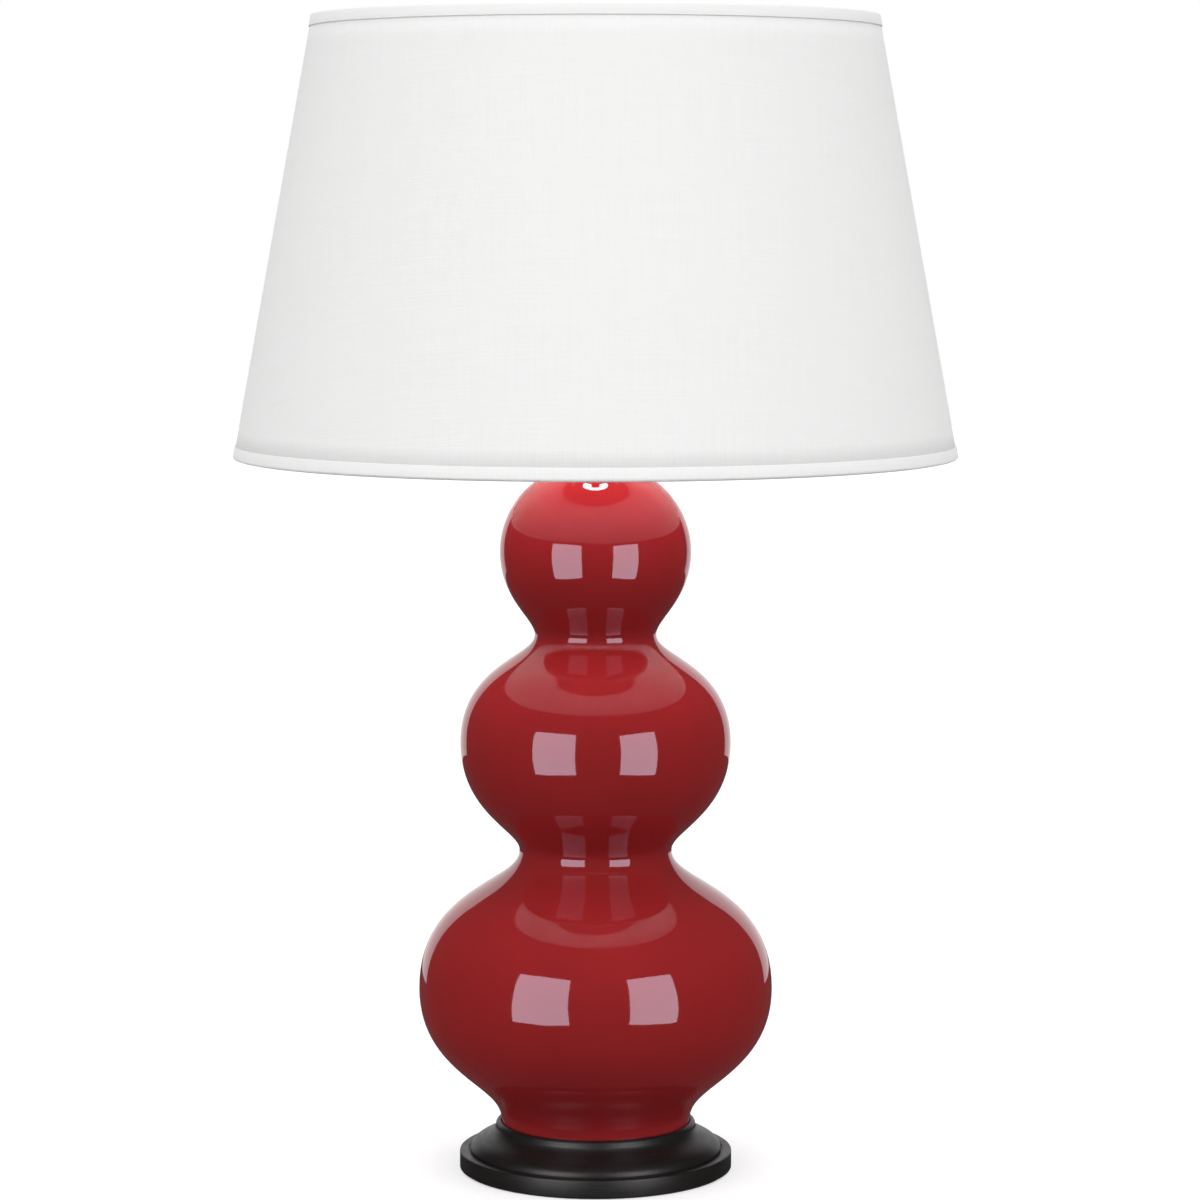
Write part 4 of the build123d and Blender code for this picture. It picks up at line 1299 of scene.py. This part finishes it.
class LAMP_OT_finial(LampOperator, bpy.types.Operator):
    """Make the finial's base and ball"""

    bl_idname = "lamp.finial"
    bl_label = "Finial"

    def execute(self, context):
        sizes = context.scene.lamp_fittings
        brass = metal_finish("finial_brass", sizes.brass, 0.1, 0.2)
        low, high = ends_of("finial_base")
        wide, bore = reach_of("finial_base"), 0.00322
        waist = wide - 0.0014
        lip = wide - 0.0006
        base = lathe(
            96,
            (bore, low), (wide, low, 0.0004), (wide, low + 0.0022, 0.0006),
            curve(
                (wide - 0.0004, low + 0.0023), (waist - 0.0002, low + 0.003),
                (waist - 0.0002, low + 0.0046), (waist, low + 0.0054), 12,
            ),
            (lip, high - 0.0012, 0.0003), (lip, high, 0.0004), (bore, high),
        )
        finished(base, "finial_foot", "finial_base", "brass", brass, "finial_base")

        top = top_of("finial_knob")
        middle = top - sizes.finial_ball
        neck = 0.0042
        slope = math.degrees(math.asin(neck / sizes.finial_ball))
        ball = lathe(
            128,
            (bore, high), (neck, high, 0.0003),
            arc((0, middle), sizes.finial_ball, slope - 90, 90, 48),
            (0, high + 0.0034), (bore, high + 0.0034),
        )
        finished(ball, "finial_sphere", "finial_ball", "brass", brass, "finial_knob")
        return {"FINISHED"}


class LAMP_OT_stage(LampOperator, bpy.types.Operator):
    """Make the floor, the light panels, the plain surroundings and the camera"""

    bl_idname = "lamp.stage"
    bl_label = "Studio"

    def execute(self, context):
        sizes = context.scene.lamp_studio
        scene = context.scene
        scene.view_settings.view_transform = "Standard"
        self.make_floor(sizes)
        self.make_surroundings(scene, sizes)
        self.make_tent(sizes)
        for turn, width in zip(sizes.panel_turns, sizes.panel_widths):
            self.make_panel(sizes, turn, width)
        self.make_bulb_light(sizes)
        self.make_camera(scene, sizes)
        return {"FINISHED"}

    def make_floor(self, sizes):
        """A wide pale floor that keeps the lamp's shadow and is clear from below."""
        shape = bmesh.new()
        bmesh.ops.create_circle(shape, cap_ends=True, segments=96, radius=sizes.floor_radius)
        material, tree = new_finish("pale_floor")
        greys = [
            add(tree, "BsdfDiffuse", {"Color": (grey, grey, grey, 1)}).outputs[0]
            for grey in (sizes.floor_tone, sizes.floor_bounce)
        ]
        bright = glowing(tree, "Emission", sizes.floor_glow)
        shown = add(tree, "AddShader", {0: greys[0], 1: bright}).outputs[0]
        top = blend(tree, in_sight(tree), greys[1], shown)
        under = add(tree, "BsdfTransparent").outputs[0]
        backface = add(tree, "NewGeometry").outputs["Backfacing"]
        close(tree, blend(tree, backface, top, under))
        floor = placed(shape, "studio_floor", material)
        floor.visible_shadow = False
        floor.visible_glossy = False

    def make_tent(self, sizes):
        """A dark tent that only reflections see, open at the back towards the white.

        It keeps the white of the floor and the world out of the glaze, lacquer and metal, apart
        from their rims. Without it, and with the floor's visible_glossy on, they mirror the white.
        """
        radius = sizes.tent_radius
        shape = bmesh.new()
        bmesh.ops.create_uvsphere(shape, u_segments=64, v_segments=32, radius=radius)
        bmesh.ops.bisect_plane(
            shape, geom=shape.verts[:] + shape.edges[:] + shape.faces[:],
            plane_co=(0, math.cos(sizes.tent_opening) * radius, 0), plane_no=(0, 1, 0),
            clear_outer=True,
        )
        for vert in shape.verts:
            vert.co.z = max(vert.co.z, -sizes.tent_depth)
        below = Matrix.Translation((0, 0, -sizes.tent_depth))
        bmesh.ops.create_circle(shape, cap_ends=True, segments=64, radius=radius, matrix=below)
        material, tree = new_finish("tent_cloth")
        close(tree, glowing(tree, "Emission", sizes.tent_tone))
        tent = placed(shape, "dark_tent", material)
        for ray in ("camera", "diffuse", "transmission", "volume_scatter", "shadow"):
            setattr(tent, "visible_" + ray, False)

    def make_surroundings(self, scene, sizes):
        """White where it is seen, and a soft light all round, more in front, less from below."""
        haze = 0.02  # how far the two levels blend on each side of the horizon
        world = bpy.data.worlds.new("studio")
        scene.world = world
        world.use_nodes = True
        tree = world.node_tree
        tree.nodes.clear()
        direction = add(tree, "TexCoord").outputs["Generated"]
        split = add(tree, "SeparateXYZ", {"Vector": direction}).outputs
        height = between(tree, split[2], -haze, haze, sizes.lower_light, sizes.upper_light)
        front = between(tree, split[1], -1.0, 0.0, sizes.front_light, 0.0)
        soft = glowing(tree, "Background", calc(tree, "ADD", height, front))
        white = glowing(tree, "Background", 1.0)
        add(tree, "OutputWorld", {"Surface": blend(tree, in_sight(tree), soft, white)})

    def make_light(self, name, shape, width, power):
        """An area light that the camera doesn't see."""
        lamp = bpy.data.lights.new(name, "AREA")
        lamp.shape = shape
        lamp.size = width
        lamp.energy = power
        holder = bpy.data.objects.new(name, lamp)
        holder.visible_camera = False
        bpy.context.scene.collection.objects.link(holder)
        return holder

    def make_panel(self, sizes, turn, width):
        """One soft rectangular light at the front, left or right, that only gloss shows."""
        height = sizes.panel_head + sizes.panel_depth
        power = sizes.panel_light * math.pi * width * height
        panel = self.make_light("panel", "RECTANGLE", width, power)
        panel.data.size_y = height
        panel.visible_diffuse = False
        aim = Vector((-math.sin(turn), math.cos(turn), 0))
        panel.location = -aim * sizes.panel_distance
        panel.location.z = (sizes.panel_head - sizes.panel_depth) / 2
        panel.rotation_euler = aim.to_track_quat("-Z", "Y").to_euler()

    def make_bulb_light(self, sizes):
        """The warm light that the bulb throws down on the gourd's shoulders."""
        light = self.make_light("bulb_light", "DISK", sizes.bulb_light_size, sizes.bulb_light)
        light.data.color = sizes.bulb_warmth
        light.visible_glossy = False
        light.location.z = foot_of("shade_fabric") + sizes.bulb_light_rise

    def make_camera(self, scene, sizes):
        """The camera, level with the shade and looking slightly down."""
        lens = bpy.data.cameras.new("camera")
        lens.lens = sizes.camera_lens
        camera = bpy.data.objects.new("camera", lens)
        camera.location = sizes.camera_place
        camera.rotation_euler = (math.pi / 2 - sizes.camera_dip, 0, 0)
        scene.collection.objects.link(camera)
        scene.camera = camera


MAKERS = (
    LAMP_OT_foot,
    LAMP_OT_gourd,
    LAMP_OT_neck,
    LAMP_OT_harp,
    LAMP_OT_socket,
    LAMP_OT_bulb,
    LAMP_OT_shade,
    LAMP_OT_finial,
    LAMP_OT_stage,
)


class LAMP_PT_panel(bpy.types.Panel):
    """The lamp's pieces and their sizes, in the 3D view's sidebar"""

    bl_idname = "LAMP_PT_panel"
    bl_label = "Triple gourd lamp"
    bl_space_type = "VIEW_3D"
    bl_region_type = "UI"
    bl_category = "Lamp"

    def draw(self, context):
        column = self.layout.column()
        for maker in MAKERS:
            column.operator(maker.bl_idname)
        for group_name, group in GROUPS.items():
            box = self.layout.box()
            values = getattr(context.scene, group_name)
            for name in group.__annotations__:
                box.prop(values, name)


def register():
    for group_name, group in GROUPS.items():
        bpy.utils.register_class(group)
        setattr(bpy.types.Scene, group_name, PointerProperty(type=group))
    for maker in MAKERS:
        bpy.utils.register_class(maker)
    bpy.utils.register_class(LAMP_PT_panel)


def unregister():
    bpy.utils.unregister_class(LAMP_PT_panel)
    for maker in reversed(MAKERS):
        bpy.utils.unregister_class(maker)
    for group_name, group in GROUPS.items():
        delattr(bpy.types.Scene, group_name)
        bpy.utils.unregister_class(group)


def main():
    """Make every piece and the studio."""
    register()
    for maker in MAKERS:
        family, name = maker.bl_idname.split(".")
        getattr(getattr(bpy.ops, family), name)()


if __name__ == "__main__":
    main()
